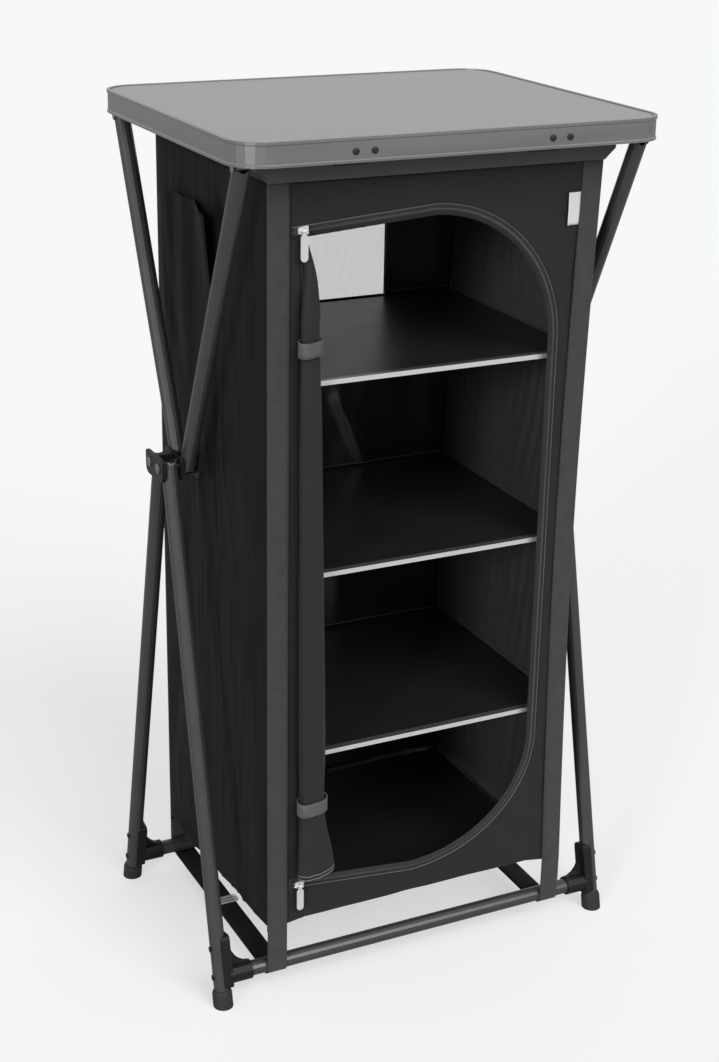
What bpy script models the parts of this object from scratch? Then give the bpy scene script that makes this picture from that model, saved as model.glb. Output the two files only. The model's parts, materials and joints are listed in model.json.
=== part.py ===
# Folding camping cupboard. An aluminium-edged worktop stands on a folding tube frame, and a
# black fabric cabinet with four shelves hangs under it, slung on webbing down to the base rails.
# Metres, +Z up, front towards -Y, origin on the floor under the middle of the worktop.
from math import atan2, cos, hypot, pi, radians, sin, sqrt

import bmesh
import bpy
from mathutils import Matrix, Vector

mm = 0.001

# Worktop
table_width = 515 * mm
table_depth = 430 * mm
table_height = 1040 * mm
table_corner_radius = 40 * mm
rim_height = 26 * mm
rim_wall = 2 * mm
rim_bead_depth = 1 * mm
rim_top_bead = 3 * mm
rim_foot_bead = 2.5 * mm
rim_lip_width = 4.2 * mm
rim_lip_rise = 1.2 * mm
rim_ledge_width = 8 * mm
rim_ledge_thickness = 2 * mm
rim_flange_width = 4.5 * mm
rim_flange_thickness = 1.8 * mm
board_thickness = 4 * mm

# Tube frame
tube_diameter = 19 * mm
tube_wall = 1.3 * mm
cross_rod_diameter = 5 * mm
cross_rod_head_diameter = 9 * mm
cross_rod_head_height = 1.5 * mm
cabinet_to_tube = 35.5 * mm
hinge_setback = 35.2 * mm
hinge_drop = 4.5 * mm
upper_tube_headroom = 0.5 * mm
pin_height = 640 * mm
pin_spread = 14 * mm
foot_spread = 162 * mm
rail_height = 36 * mm

# Hub blocks and their pins
hub_cheek = 3.8 * mm
hub_mid_plate = 2.2 * mm
hub_side_play = 0.4 * mm
hub_half_depth = 27 * mm
hub_below_pin = 15.5 * mm
hub_above_pin = 12.5 * mm
hub_web = 7 * mm
hub_bottom_radius = 9 * mm
hub_top_radius = 4 * mm
pin_diameter = 6 * mm
pin_head_diameter = 12 * mm
pin_head_height = 2.2 * mm

# Feet, corner brackets and rivets
foot_diameter = 24.4 * mm
foot_height = 20 * mm
foot_sole = 6 * mm
foot_taper = 4 * mm
bracket_wall = 2.5 * mm
bracket_saddle = 3 * mm
bracket_socket = 26 * mm
bracket_rise = 52 * mm
bracket_drop = 15 * mm
bracket_web = 5 * mm
bracket_corner = 5 * mm
bracket_lip = 6 * mm
bracket_half_gap = 1 * mm
bracket_rivet_rise = 36 * mm
rivet_diameter = 4 * mm
rivet_head_diameter = 7.6 * mm
rivet_head_height = 1.2 * mm

# Clips that hold the worktop on the cross rods
clip_offset = 117 * mm
clip_width = 36 * mm
clip_thickness = 2 * mm
clip_rivet_pitch = 21.5 * mm
clip_rivet_drop = 14.5 * mm
clip_foot_clearance = 2 * mm
clip_wrap_start = radians(80)
front_clip_wrap = radians(184)
rear_clip_wrap = radians(300)

# Top panel of the cabinet
carrier_gap = 9.5 * mm
carrier_thickness = 15.5 * mm
carrier_width = 409 * mm
carrier_flare = 13.5 * mm
carrier_half_depth = 168 * mm
carrier_batten = 18 * mm
carrier_batten_offset = 115 * mm

# Fabric cabinet
cabinet_width = 409 * mm
fabric_thickness = 1.6 * mm
wall_thickness = 1.2 * mm
hem_front = 85 * mm
hem_rear = 70 * mm
hem_dip = 8 * mm
right_side_bow = 9 * mm
wall_bulge = 4 * mm
pocket_drop = 55.7 * mm
pocket_height = 150 * mm
pocket_front = -14 * mm
pocket_bulge = 7 * mm
strap_width = 25 * mm
strap_thickness = 1.6 * mm
strap_inset = 12.5 * mm
base_band_width = 28 * mm
base_band_offset = 190 * mm

# Door opening, seen from the front: x from the middle, bottoms from the floor, tops from the
# top edge of the fabric
door_left = -165 * mm
door_right = 150 * mm
door_left_drop = 54.7 * mm
door_drop = 42.2 * mm
door_top_bend = -8 * mm
door_upper_radius = 160 * mm
door_bottom_left = 150 * mm
door_bottom = 134 * mm
door_bottom_bend = -16 * mm
door_lower_radius = 148 * mm
window_half_width = 100 * mm
window_drop = 23.7 * mm
window_corner = 30 * mm
window_sill = 3 * mm

# Zip, sliders and pullers
zip_width = 8 * mm
zip_thickness = 1.8 * mm
zip_tail = 12 * mm
slider_length = 12 * mm
slider_width = 9 * mm
slider_thickness = 2.6 * mm
bail_wire = 1.4 * mm
bail_width = 7 * mm
puller_length = 33 * mm
puller_width = 8.6 * mm
puller_thickness = 1.4 * mm
puller_neck_length = 3.5 * mm
puller_shoulder_length = 3 * mm
knuckle_diameter = 4 * mm
stop_length = 4 * mm

# Rolled door and its ties
roll_top_clearance = 9 * mm
roll_bottom_clearance = 12 * mm
roll_back = 157 * mm
roll_inset = 1 * mm
roll_neck_inset = 6.5 * mm
roll_neck_height = 50 * mm
roll_top_half = 4.5 * mm
roll_tied_half = 16 * mm
roll_growth = 5 * mm
roll_depth_share = 0.62
roll_core_depth = 2.4 * mm
roll_fold_share = 0.07
roll_squeeze = 0.88
roll_squeeze_run = 45 * mm
tie_width = 17 * mm
tie_thickness = 1.5 * mm
tie_margin = 1 * mm
upper_tie_drop = 116 * mm
lower_tie_rise = 85 * mm

# Shelves, from the top one down to the floor board
shelf_heights = (767.5 * mm, 540 * mm, 312.5 * mm, 97 * mm)
shelf_thickness = 4.8 * mm
shelf_half_depth = 154.5 * mm
shelf_right_play = 0.6 * mm
edge_wall = 0.7 * mm
edge_depth = 9 * mm
edge_rebate = 1.2 * mm

# Clearances
gap = 0.3 * mm
bore_play = 0.6 * mm

# Sizes that follow from the ones above
tube_radius = tube_diameter / 2
cross_rod_radius = cross_rod_diameter / 2
upper_plane = cabinet_width / 2 + cabinet_to_tube
lower_plane = upper_plane + tube_diameter + hub_mid_plate + 2 * hub_side_play
hinge_y = table_depth / 2 - hinge_setback
hinge_z = table_height - rim_height - hinge_drop
upper_length = hypot(hinge_y - pin_spread, hinge_z - pin_height)
upper_lean = atan2(hinge_y - pin_spread, hinge_z - pin_height)
upper_tube_top = table_height - rim_height - upper_tube_headroom
upper_tube_end = (upper_tube_top - tube_radius - pin_height) / cos(upper_lean)
lower_length = hypot(foot_spread - pin_spread, pin_height)
lower_lean = atan2(foot_spread - pin_spread, pin_height)
rail_drop = (pin_height - rail_height) / cos(lower_lean)
rail_y = pin_spread + rail_drop * sin(lower_lean)
board_top = table_height - rim_lip_rise
board_bottom = board_top - board_thickness
wall_inner = rim_bead_depth + rim_wall
carrier_top = table_height - rim_height - carrier_gap
carrier_bottom = carrier_top - carrier_thickness
fabric_top = carrier_bottom - gap
pocket_top = fabric_top - pocket_drop
door_top = fabric_top - door_drop
door_top_left = fabric_top - door_left_drop
window_top = fabric_top - window_drop
roll_top = door_top_left - roll_top_clearance
roll_bottom = door_bottom_left + roll_bottom_clearance
upper_tie_height = roll_top - upper_tie_drop
lower_tie_height = roll_bottom + lower_tie_rise
strap_y = rail_y + tube_radius + strap_thickness / 2 + gap
panel_face = strap_y - strap_thickness / 2 - gap
panel_back = panel_face - fabric_thickness
cabinet_half = cabinet_width / 2
shelf_left = -(cabinet_half - wall_thickness - gap)
shelf_right = cabinet_half - right_side_bow - wall_thickness - shelf_right_play
zip_face = panel_face + gap + zip_thickness
slider_face = zip_face + gap + slider_thickness
bail_reach = knuckle_diameter / 2 + 2 * gap
knuckle_length = bail_width - 2 * bail_wire - 2 * gap
bail_y = slider_face + bail_reach
tie_reach = tie_width / 2 + tie_margin


def make_material(name, color, roughness, metallic=0.0):
    material = bpy.data.materials.new(name)
    material.use_nodes = True
    shader = material.node_tree.nodes["Principled BSDF"]
    shader.inputs["Base Color"].default_value = (*color, 1.0)
    shader.inputs["Roughness"].default_value = roughness
    shader.inputs["Metallic"].default_value = metallic
    return material


def clear_scene():
    for obj in list(bpy.data.objects):
        bpy.data.objects.remove(obj, do_unlink=True)


def make_object(name, bm):
    """Turn a finished bmesh into a named object."""
    bmesh.ops.recalc_face_normals(bm, faces=bm.faces)
    mesh = bpy.data.meshes.new(name)
    bm.to_mesh(mesh)
    bm.free()
    obj = bpy.data.objects.new(name, mesh)
    bpy.context.collection.objects.link(obj)
    return obj


def finish(obj, material, smooth=35):
    """Give a piece its material and shading once its shape is done."""
    obj.data.materials.clear()
    obj.data.materials.append(material)
    if smooth:
        obj.data.shade_smooth()
        obj.data.set_sharp_from_angle(angle=radians(smooth))
    return obj


def place(obj, y, z, tilt=0.0):
    """Put a piece that was drawn about its own pivot on that pivot, tilted about X."""
    obj.location = (0, y, z)
    obj.rotation_euler = (tilt, 0, 0)
    return obj


def solid(name, points, faces):
    bm = bmesh.new()
    verts = [bm.verts.new(p) for p in points]
    for face in faces:
        bm.faces.new([verts[i] for i in face])
    return make_object(name, bm)


def spread(axis, flat, depth):
    """A point from its place on a drawing plane and its depth along the plane's axis."""
    a, b = flat
    return {"x": (depth, a, b), "y": (a, depth, b), "z": (a, b, depth)}[axis]


def prism(name, outline, axis, low, high):
    """Extrude a closed outline along an axis."""
    n = len(outline)
    points = [spread(axis, p, low) for p in outline] + [spread(axis, p, high) for p in outline]
    sides = [(i, (i + 1) % n, n + (i + 1) % n, n + i) for i in range(n)]
    return solid(name, points, [tuple(range(n)), tuple(range(n, 2 * n))] + sides)


def box(name, low, high):
    outline = [(low[0], low[1]), (high[0], low[1]), (high[0], high[1]), (low[0], high[1])]
    return prism(name, outline, "z", low[2], high[2])


def framed_panel(name, outline, hole, y_low, y_high):
    """A flat panel in the XZ plane with one opening, extruded in Y."""
    bm = bmesh.new()
    edges = []
    for loop in (outline, hole):
        verts = [bm.verts.new((x, y_low, z)) for x, z in loop]
        edges += [bm.edges.new((verts[i - 1], verts[i])) for i in range(len(verts))]
    bmesh.ops.triangle_fill(bm, use_beauty=True, edges=edges)
    grown = bmesh.ops.extrude_face_region(bm, geom=bm.faces[:])
    moved = [v for v in grown["geom"] if isinstance(v, bmesh.types.BMVert)]
    bmesh.ops.translate(bm, verts=moved, vec=(0, y_high - y_low, 0))
    return make_object(name, bm)


def turned(name, profile, axis, centre, sides=16):
    """Revolve (distance along the axis, radius) pairs; the ends with no radius close it."""
    points, rings = [], []
    for along, radius in profile:
        if radius == 0:
            rings.append([len(points)])
            points.append(Vector(spread(axis, (0, 0), along)) + Vector(centre))
            continue
        rings.append(list(range(len(points), len(points) + sides)))
        for k in range(sides):
            turn = 2 * pi * (k + 0.5) / sides
            flat = (radius * cos(turn), radius * sin(turn))
            points.append(Vector(spread(axis, flat, along)) + Vector(centre))
    faces = []
    for a, b in zip(rings, rings[1:]):
        for k in range(sides):
            n = (k + 1) % sides
            faces.append(dict.fromkeys((a[k % len(a)], a[n % len(a)], b[n % len(b)], b[k % len(b)])))
    return solid(name, points, [tuple(f) for f in faces])


def hollow_tube(name, radius, wall, axis, low, high, centre=(0, 0, 0), round_ends="", sides=16):
    """An open tube. A rounded end is trimmed to a half circle about the pivot at that end."""
    points = []
    for end, letter, out in ((low, "l", -1), (high, "h", 1)):
        for ring in (radius, radius - wall):
            for k in range(sides):
                turn = 2 * pi * (k + 0.5) / sides
                flat = (ring * cos(turn), ring * sin(turn))
                reach = sqrt(radius**2 - flat[1] ** 2) if letter in round_ends else 0
                points.append(Vector(spread(axis, flat, end + out * reach)) + Vector(centre))
    faces = []
    for k in range(sides):
        n = (k + 1) % sides
        rings = [r * sides for r in range(4)]
        for a, b in ((rings[0], rings[1]), (rings[1], rings[3]), (rings[3], rings[2]), (rings[2], rings[0])):
            faces.append((a + k, a + n, b + n, b + k))
    return solid(name, points, faces)


def rod(name, radius, axis, low, high, centre=(0, 0, 0), sides=16):
    return turned(name, [(low, 0), (low, radius), (high, radius), (high, 0)], axis, centre, sides)


def headed_end(face, out, shank_radius, head_diameter, head_height):
    """Profile of a domed head from the shank outwards; out is the way the head points."""
    return [
        (face, shank_radius),
        (face, head_diameter / 2),
        (face + out * head_height / 2, head_diameter / 2),
        (face + out * head_height, head_diameter / 4),
        (face + out * head_height, 0),
    ]


def strip_outline(path, thickness):
    """The outline of a bent strip from the path along its middle."""
    left, right = [], []
    for i, point in enumerate(path):
        p = Vector(point)
        before = (p - Vector(path[i - 1])).normalized() if i else None
        after = (Vector(path[i + 1]) - p).normalized() if i < len(path) - 1 else None
        along = ((before or after) + (after or before)).normalized()
        normal = Vector((-along.y, along.x))
        corner = abs(along.dot(after or before))
        left.append(tuple(p + normal * thickness / 2 / corner))
        right.append(tuple(p - normal * thickness / 2 / corner))
    return left + right[::-1]


def combine(obj, tool, operation):
    """Apply one exact Boolean and drop the tool."""
    modifier = obj.modifiers.new(operation, "BOOLEAN")
    modifier.operation = operation
    modifier.solver = "EXACT"
    modifier.object = tool
    graph = bpy.context.evaluated_depsgraph_get()
    obj.data = bpy.data.meshes.new_from_object(obj.evaluated_get(graph))
    obj.modifiers.remove(modifier)
    bpy.data.objects.remove(tool)
    return obj


def gathered(pieces):
    """Several solids as one object, so that one cut takes them all."""
    bm = bmesh.new()
    for piece in pieces:
        bm.from_mesh(piece.data)
        bpy.data.objects.remove(piece, do_unlink=True)
    return make_object("tools", bm)


def cut(obj, tool):
    return combine(obj, tool, "DIFFERENCE")


def fuse(obj, tool):
    return combine(obj, tool, "UNION")


def arc(centre, radii, start, end, steps):
    """Points on an elliptical arc, angles from +first axis towards +second axis."""
    return [
        (
            centre[0] + radii[0] * cos(start + (end - start) * k / steps),
            centre[1] + radii[1] * sin(start + (end - start) * k / steps),
        )
        for k in range(steps + 1)
    ]


def rounded_rectangle(half_width, half_depth, radius, steps=6):
    x, y = half_width - radius, half_depth - radius
    corners = ((x, y, 0), (-x, y, pi / 2), (-x, -y, pi), (x, -y, 3 * pi / 2))
    points = []
    for cx, cy, start in corners:
        points += arc((cx, cy), (radius, radius), start, start + pi / 2, steps)
    return points


# Worktop


def build_tabletop_rim():
    """The rim is one extruded section bent round the board: beads, wall, ledge and flange."""
    board_shadow = rim_lip_rise + board_thickness + gap
    h = rim_height
    section = [
        (0, 0),
        (0, -rim_top_bead),
        (rim_bead_depth, -rim_top_bead - rim_bead_depth),
        (rim_bead_depth, -h + rim_foot_bead + rim_bead_depth),
        (0, -h + rim_foot_bead),
        (0, -h),
        (rim_flange_width, -h),
        (rim_flange_width, -h + rim_flange_thickness),
        (wall_inner, -h + rim_flange_thickness),
        (wall_inner, -board_shadow - rim_ledge_thickness),
        (rim_lip_width + rim_ledge_width, -board_shadow - rim_ledge_thickness),
        (rim_lip_width + rim_ledge_width, -board_shadow),
        (rim_lip_width, -board_shadow),
        (rim_lip_width, 0),
    ]
    columns = []
    for inset, drop in section:
        outline = rounded_rectangle(
            table_width / 2 - inset, table_depth / 2 - inset, table_corner_radius - inset
        )
        columns.append([(x, y, table_height + drop) for x, y in outline])
    around, n = len(columns[0]), len(section)
    points = [columns[i][k] for k in range(around) for i in range(n)]
    faces = []
    for k in range(around):
        for i in range(n):
            a, b = k * n, ((k + 1) % around) * n
            faces.append((a + i, a + (i + 1) % n, b + (i + 1) % n, b + i))
    bores = []
    for side in (-1, 1):
        for x in clip_rivet_places():
            place = (x, side * (table_depth / 2 - wall_inner / 2), rivet_height())
            radius = (rivet_diameter + bore_play) / 2
            bores.append(rod("bore", radius, "y", -wall_inner, wall_inner, place, 12))
    return finish(cut(solid("tabletop_rim", points, faces), gathered(bores)), aluminium)


def build_tabletop_board():
    inset = rim_lip_width + gap
    outline = rounded_rectangle(
        table_width / 2 - inset, table_depth / 2 - inset, table_corner_radius - inset
    )
    return finish(prism("tabletop_board", outline, "z", board_bottom, board_top), laminate)


def rivet_height():
    return table_height - clip_rivet_drop


def clip_rivet_places():
    return [s * clip_offset + r * clip_rivet_pitch / 2 for s in (-1, 1) for r in (-1, 1)]


def build_clip(name, x, side, wrap):
    """A riveted spring strip that runs in from the rim and wraps a cross rod."""
    plate_y = table_depth / 2 - wall_inner - gap - clip_thickness / 2
    foot = table_height - rim_height + rim_flange_thickness + clip_foot_clearance
    arm = board_bottom - gap - rim_ledge_thickness - gap - clip_thickness
    ring = cross_rod_radius + gap + clip_thickness / 2
    loop = arc((hinge_y, hinge_z), (ring, ring), clip_wrap_start, clip_wrap_start + wrap, 18)
    path = [(plate_y, foot), (plate_y, arm), (loop[0][0], arm)] + loop
    outline = [(side * y, z) for y, z in strip_outline(path, clip_thickness)]
    clip = prism(name, outline, "x", x - clip_width / 2, x + clip_width / 2)
    face = table_depth / 2 - rim_bead_depth
    for place_x in (x - clip_rivet_pitch / 2, x + clip_rivet_pitch / 2):
        profile = rivet_profile(plate_y - clip_thickness / 4, face + gap, side)
        clip = fuse(clip, turned("rivet", profile, "y", (place_x, 0, rivet_height()), 12))
    return finish(clip, black_steel)


def rivet_profile(root, face, sign):
    """A rivet from its root inside the riveted piece to a domed head on the far face."""
    head = headed_end(face, 1, rivet_diameter / 2, rivet_head_diameter, rivet_head_height)
    profile = [(root, 0), (root, rivet_diameter / 2)] + head
    return [(sign * along, radius) for along, radius in profile]


def build_carrier_board():
    """The stiff top panel of the cabinet, hung from the worktop board on two battens."""
    low, high = carrier_width / 2, carrier_width / 2 + carrier_flare
    edge = carrier_top - carrier_thickness * 0.2
    outline = [
        (-low, carrier_bottom),
        (low, carrier_bottom),
        (high, edge),
        (high, carrier_top),
        (-high, carrier_top),
        (-high, edge),
    ]
    board = prism("carrier_board", outline, "y", -carrier_half_depth, carrier_half_depth)
    for y in (-carrier_batten_offset, carrier_batten_offset):
        reach = low - carrier_flare
        batten_low = (-reach, y - carrier_batten / 2, carrier_top - carrier_thickness / 2)
        batten_high = (reach, y + carrier_batten / 2, board_bottom - gap)
        board = fuse(board, box("batten", batten_low, batten_high))
    return finish(board, black_board, smooth=None)


# Tube frame


def build_upper_frame(end, direction):
    """Two leaning tubes and the steel rod through their tops, on which the worktop rides."""
    pivot = (direction * pin_spread, pin_height, -direction * upper_lean)
    for side, x in (("left", -upper_plane), ("right", upper_plane)):
        leg = hollow_tube(
            f"upper_{end}_leg_{side}", tube_radius, tube_wall, "z", 0, upper_tube_end, (x, 0, 0), "lh"
        )
        ends = (x - tube_diameter, x + tube_diameter)
        leg = cut(leg, rod("bore", (pin_diameter + bore_play) / 2, "x", *ends, sides=12))
        bore = (cross_rod_diameter + bore_play) / 2
        leg = cut(leg, rod("bore", bore, "x", *ends, (0, 0, upper_length), 12))
        place(finish(leg, powder_coat), *pivot)
    head = headed_end(
        upper_plane + tube_radius + gap, 1, cross_rod_radius, cross_rod_head_diameter, cross_rod_head_height
    )
    profile = [(-along, radius) for along, radius in reversed(head)] + head
    cross = turned(f"upper_{end}_cross_rod", profile, "x", (0, 0, upper_length), 12)
    place(finish(cross, steel), *pivot)


def build_hub(side, sign):
    """A moulded block of three plates on a web, open at both ends for the tubes."""
    inner_low = upper_plane - tube_radius - hub_side_play - hub_cheek
    inner_high = inner_low + hub_cheek
    mid_low = upper_plane + tube_radius + hub_side_play
    mid_high = mid_low + hub_mid_plate
    outer_low = lower_plane + tube_radius + hub_side_play
    outer_high = outer_low + hub_cheek
    d, w = hub_half_depth, hub_web / 2
    plan = [(inner_low, -d), (inner_high, -d), (inner_high, -w), (mid_low, -w), (mid_low, -d)]
    plan += [(mid_high, -d), (mid_high, -w), (outer_low, -w), (outer_low, -d), (outer_high, -d)]
    plan += [(x, -y) for x, y in reversed(plan)]
    hub = prism("hub_" + side, [(sign * x, y) for x, y in plan], "z", -hub_below_pin, hub_above_pin)
    rb, rt = hub_bottom_radius, hub_top_radius
    shape = arc((d - rt, hub_above_pin - rt), (rt, rt), 0, pi / 2, 3)
    shape += arc((rt - d, hub_above_pin - rt), (rt, rt), pi / 2, pi, 3)
    shape += arc((rb - d, rb - hub_below_pin), (rb, rb), pi, 3 * pi / 2, 4)
    shape += arc((d - rb, rb - hub_below_pin), (rb, rb), 3 * pi / 2, 2 * pi, 4)
    ends = sorted((sign * (inner_low - hub_cheek), sign * (outer_high + hub_cheek)))
    hub = combine(hub, prism("shape", shape, "x", *ends), "INTERSECT")
    for y in (-pin_spread, pin_spread):
        hub = cut(hub, rod("bore", (pin_diameter + bore_play) / 2, "x", *ends, (0, y, 0), 12))
    place(finish(hub, black_plastic), 0, pin_height)
    for end, y in (("front", -pin_spread), ("rear", pin_spread)):
        head = (pin_diameter / 2, pin_head_diameter, pin_head_height)
        profile = headed_end(inner_low - gap, -1, *head)[::-1] + headed_end(outer_high + gap, 1, *head)
        profile = [(sign * along, radius) for along, radius in profile]
        pin = turned(f"hub_pin_{end}_{side}", profile, "x", (0, 0, 0))
        place(finish(pin, steel), y, pin_height)


def build_lower_frame(end, direction):
    """Two splayed legs on rubber feet, tied by a base rail in two moulded corner brackets."""
    pivot = (direction * pin_spread, pin_height, direction * lower_lean)
    tube_end = lower_length - foot_sole
    for side, sign in (("left", -1), ("right", 1)):
        x = sign * lower_plane
        leg = hollow_tube(
            f"lower_{end}_leg_{side}", tube_radius, tube_wall, "z", -tube_end, 0, (x, 0, 0), "h"
        )
        reach = tube_diameter
        leg = cut(leg, rod("bore", (pin_diameter + bore_play) / 2, "x", x - reach, x + reach, sides=12))
        for z in bracket_rivets():
            bore = (rivet_diameter + bore_play) / 2
            leg = cut(leg, rod("bore", bore, "x", x - reach, x + reach, (0, 0, z), 12))
        place(finish(leg, powder_coat), *pivot)
        place(build_bracket(f"corner_bracket_{end}_{side}", sign), *pivot)
        place(build_foot(f"foot_{end}_{side}", x, tube_end, direction), *pivot)
    half = lower_plane - tube_radius - bracket_saddle - gap
    rail = hollow_tube(
        f"base_rail_{end}", tube_radius, tube_wall, "x", -half, half, (0, 0, -rail_drop)
    )
    place(finish(rail, powder_coat), *pivot)


def bracket_rivets():
    return (-rail_drop, -rail_drop + bracket_rivet_rise)


def build_bracket(name, sign):
    """A saddle up the leg, a socket for the rail and a curved gusset between them."""
    inner = lower_plane - tube_radius - bracket_saddle
    socket_end = inner - bracket_socket
    half = tube_radius + bracket_wall
    top, low = -rail_drop + bracket_rise, -rail_drop - bracket_drop
    saddle = rounded_rectangle(half - bracket_half_gap, (top - low) / 2, bracket_corner, 3)
    saddle = [(y, z + (top + low) / 2) for y, z in saddle]
    ends = sorted((sign * inner, sign * (lower_plane - bracket_half_gap)))
    bracket = prism(name, saddle, "x", *ends)
    ends = sorted((sign * socket_end, sign * (inner + bracket_saddle)))
    bracket = fuse(bracket, rod("socket", half, "x", *ends, (0, 0, -rail_drop), 20))
    start, root = top - bracket_lip, inner + bracket_saddle / 3
    radii = (inner - socket_end, bracket_rise - half - bracket_lip)
    sweep = [(root, start)] + arc((socket_end, start), radii, 0, -pi / 2, 6)
    sweep += [(socket_end, -rail_drop), (root, -rail_drop)]
    gusset = [(sign * x, z) for x, z in sweep]
    bracket = fuse(bracket, prism("gusset", gusset, "y", -bracket_web / 2, bracket_web / 2))
    reach = (low - tube_diameter, top + tube_diameter)
    bracket = cut(bracket, rod("leg", tube_radius + gap, "z", *reach, (sign * lower_plane, 0, 0), 24))
    ends = sorted((sign * (socket_end - bracket_wall), sign * inner))
    bracket = cut(bracket, rod("rail", tube_radius + gap, "x", *ends, (0, 0, -rail_drop), 24))
    outer = lower_plane + tube_radius + gap
    for z in bracket_rivets():
        profile = rivet_profile(root, outer, sign)
        bracket = fuse(bracket, turned("rivet", profile, "x", (0, 0, z), 12))
    return finish(bracket, black_plastic)


def build_foot(name, x, tube_end, direction):
    """A rubber cap on the tube, cut flat where it stands on the floor."""
    top = -lower_length + foot_height
    below = -lower_length - foot_diameter / 2
    radius = foot_diameter / 2
    bore = tube_radius + gap
    profile = [
        (below, 0),
        (below, radius),
        (top - foot_taper, radius),
        (top, bore + (radius - bore) / 2),
        (top, bore),
        (-tube_end - gap, bore),
        (-tube_end - gap, 0),
    ]
    foot = turned(name, profile, "z", (x, 0, 0), 20)
    bm = bmesh.new()
    bm.from_mesh(foot.data)
    tilt = direction * lower_lean
    floor = (0, 0, -pin_height / cos(lower_lean))
    parts = bm.verts[:] + bm.edges[:] + bm.faces[:]
    down = (0, -sin(tilt), -cos(tilt))
    trimmed = bmesh.ops.bisect_plane(bm, geom=parts, plane_co=floor, plane_no=down, clear_outer=True)
    rim = [e for e in trimmed["geom_cut"] if isinstance(e, bmesh.types.BMEdge)]
    bmesh.ops.contextual_create(bm, geom=rim)
    bmesh.ops.recalc_face_normals(bm, faces=bm.faces)
    bm.to_mesh(foot.data)
    bm.free()
    return finish(foot, rubber)


# Fabric cabinet


def height_share(z):
    return min(1, max(0, (z - hem_front) / (fabric_top - hem_front)))


def side_bow(z):
    """How far the right side is drawn in, most at half height."""
    return right_side_bow * sin(pi * height_share(z))


def hem_height(y):
    return hem_front + (hem_rear - hem_front) * (y + panel_back) / (2 * panel_back)


def bay_share(z):
    """Where a height lies between the shelf above and the one below, 0 to 1."""
    levels = sorted((hem_rear, *shelf_heights, fabric_top))
    for low, high in zip(levels, levels[1:]):
        if z <= high:
            return max(0, (z - low) / (high - low)), levels.index(low)
    return 0, 0


def wall_swell(y, z):
    """The loose cloth swells a little in each bay and lies flat at the shelves."""
    share, bay = bay_share(z)
    ripple = 0.65 + 0.35 * cos(3 * pi * y / panel_back + 1.7 * bay)
    edge = max(0, 1 - abs(y / panel_back) ** 4)
    return wall_bulge * sin(pi * share) ** 2 * ripple * edge


def pocket_swell(y, z):
    """The slack mouth of the pocket at the top of the left wall."""
    if z > pocket_top or y < pocket_front:
        return 0
    along = min(1, (y - pocket_front) / (25 * mm)) * min(1, (panel_back - y) / (30 * mm))
    return pocket_bulge * along * max(0, 1 - (pocket_top - z) / pocket_height) ** 2


def build_wall(name, outer_x, sign):
    """A side wall: a grid of cloth, thickened inwards."""
    across = [-panel_back + gap + (2 * panel_back - 2 * gap) * i / 12 for i in range(13)]
    levels = sorted((hem_rear, *shelf_heights, fabric_top))
    rows = 5
    shares = [k / rows for k in range(rows * (len(levels) - 1) + 1)]
    points = []
    for inward in (0, wall_thickness):
        for share in shares:
            k = min(int(share), len(levels) - 2)
            z_low = levels[k] + (levels[k + 1] - levels[k]) * (share - k)
            for y in across:
                z = max(z_low, hem_height(y) + (z_low - hem_rear) * 0.2) if k == 0 else z_low
                points.append((sign * (outer_x(y, z) - inward), y, z))
    nu, nv = len(across), len(shares)
    face = nu * nv
    faces = []
    for layer in (0, face):
        for v in range(nv - 1):
            for u in range(nu - 1):
                a = layer + v * nu + u
                faces.append((a, a + 1, a + nu + 1, a + nu))
    ring = list(range(nu))
    ring += [v * nu + nu - 1 for v in range(1, nv)]
    ring += [(nv - 1) * nu + u for u in range(nu - 2, -1, -1)]
    ring += [v * nu for v in range(nv - 2, 0, -1)]
    for i, a in enumerate(ring):
        b = ring[(i + 1) % len(ring)]
        faces.append((a, b, b + face, a + face))
    return finish(solid(name, points, faces), fabric)


def panel_outline(hem):
    """The outline of the front or rear panel, seen from the front."""
    left = [(-cabinet_half, fabric_top), (-cabinet_half, hem - hem_dip)]
    dips = [(-cabinet_half + 2 * strap_width, hem), (cabinet_half - 2 * strap_width, hem)]
    heights = [hem - hem_dip + (fabric_top - hem + hem_dip) * k / 12 for k in range(13)]
    return left + dips + [(cabinet_half - side_bow(z), z) for z in heights]


def door_outline(offset=0.0, start=0.0):
    """The D-shaped zip line, from the top left round the right side to the bottom left."""
    radii = (door_right - door_top_bend + offset, door_upper_radius + offset)
    top = arc((door_top_bend, door_top - door_upper_radius), radii, pi / 2, 0, 9)
    radii = (door_right - door_bottom_bend + offset, door_lower_radius + offset)
    bottom = arc((door_bottom_bend, door_bottom + door_lower_radius), radii, 0, -pi / 2, 9)
    first = (door_left - start, door_top_left + offset)
    last = (door_left - start, door_bottom_left - offset)
    return [first] + top + bottom + [last]


def build_panels():
    front = framed_panel("front_panel", panel_outline(hem_front), door_outline(), -panel_face, -panel_back)
    finish(front, fabric, smooth=None)
    w, c = window_half_width, window_corner
    sill = shelf_heights[0] + window_sill
    window = [(-w, sill), (w, sill)] + arc((w - c, window_top - c), (c, c), 0, pi / 2, 4)
    window += arc((c - w, window_top - c), (c, c), pi / 2, pi, 4)
    rear = framed_panel("rear_panel", panel_outline(hem_rear), window, panel_back, panel_face)
    finish(rear, fabric, smooth=None)


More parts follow.
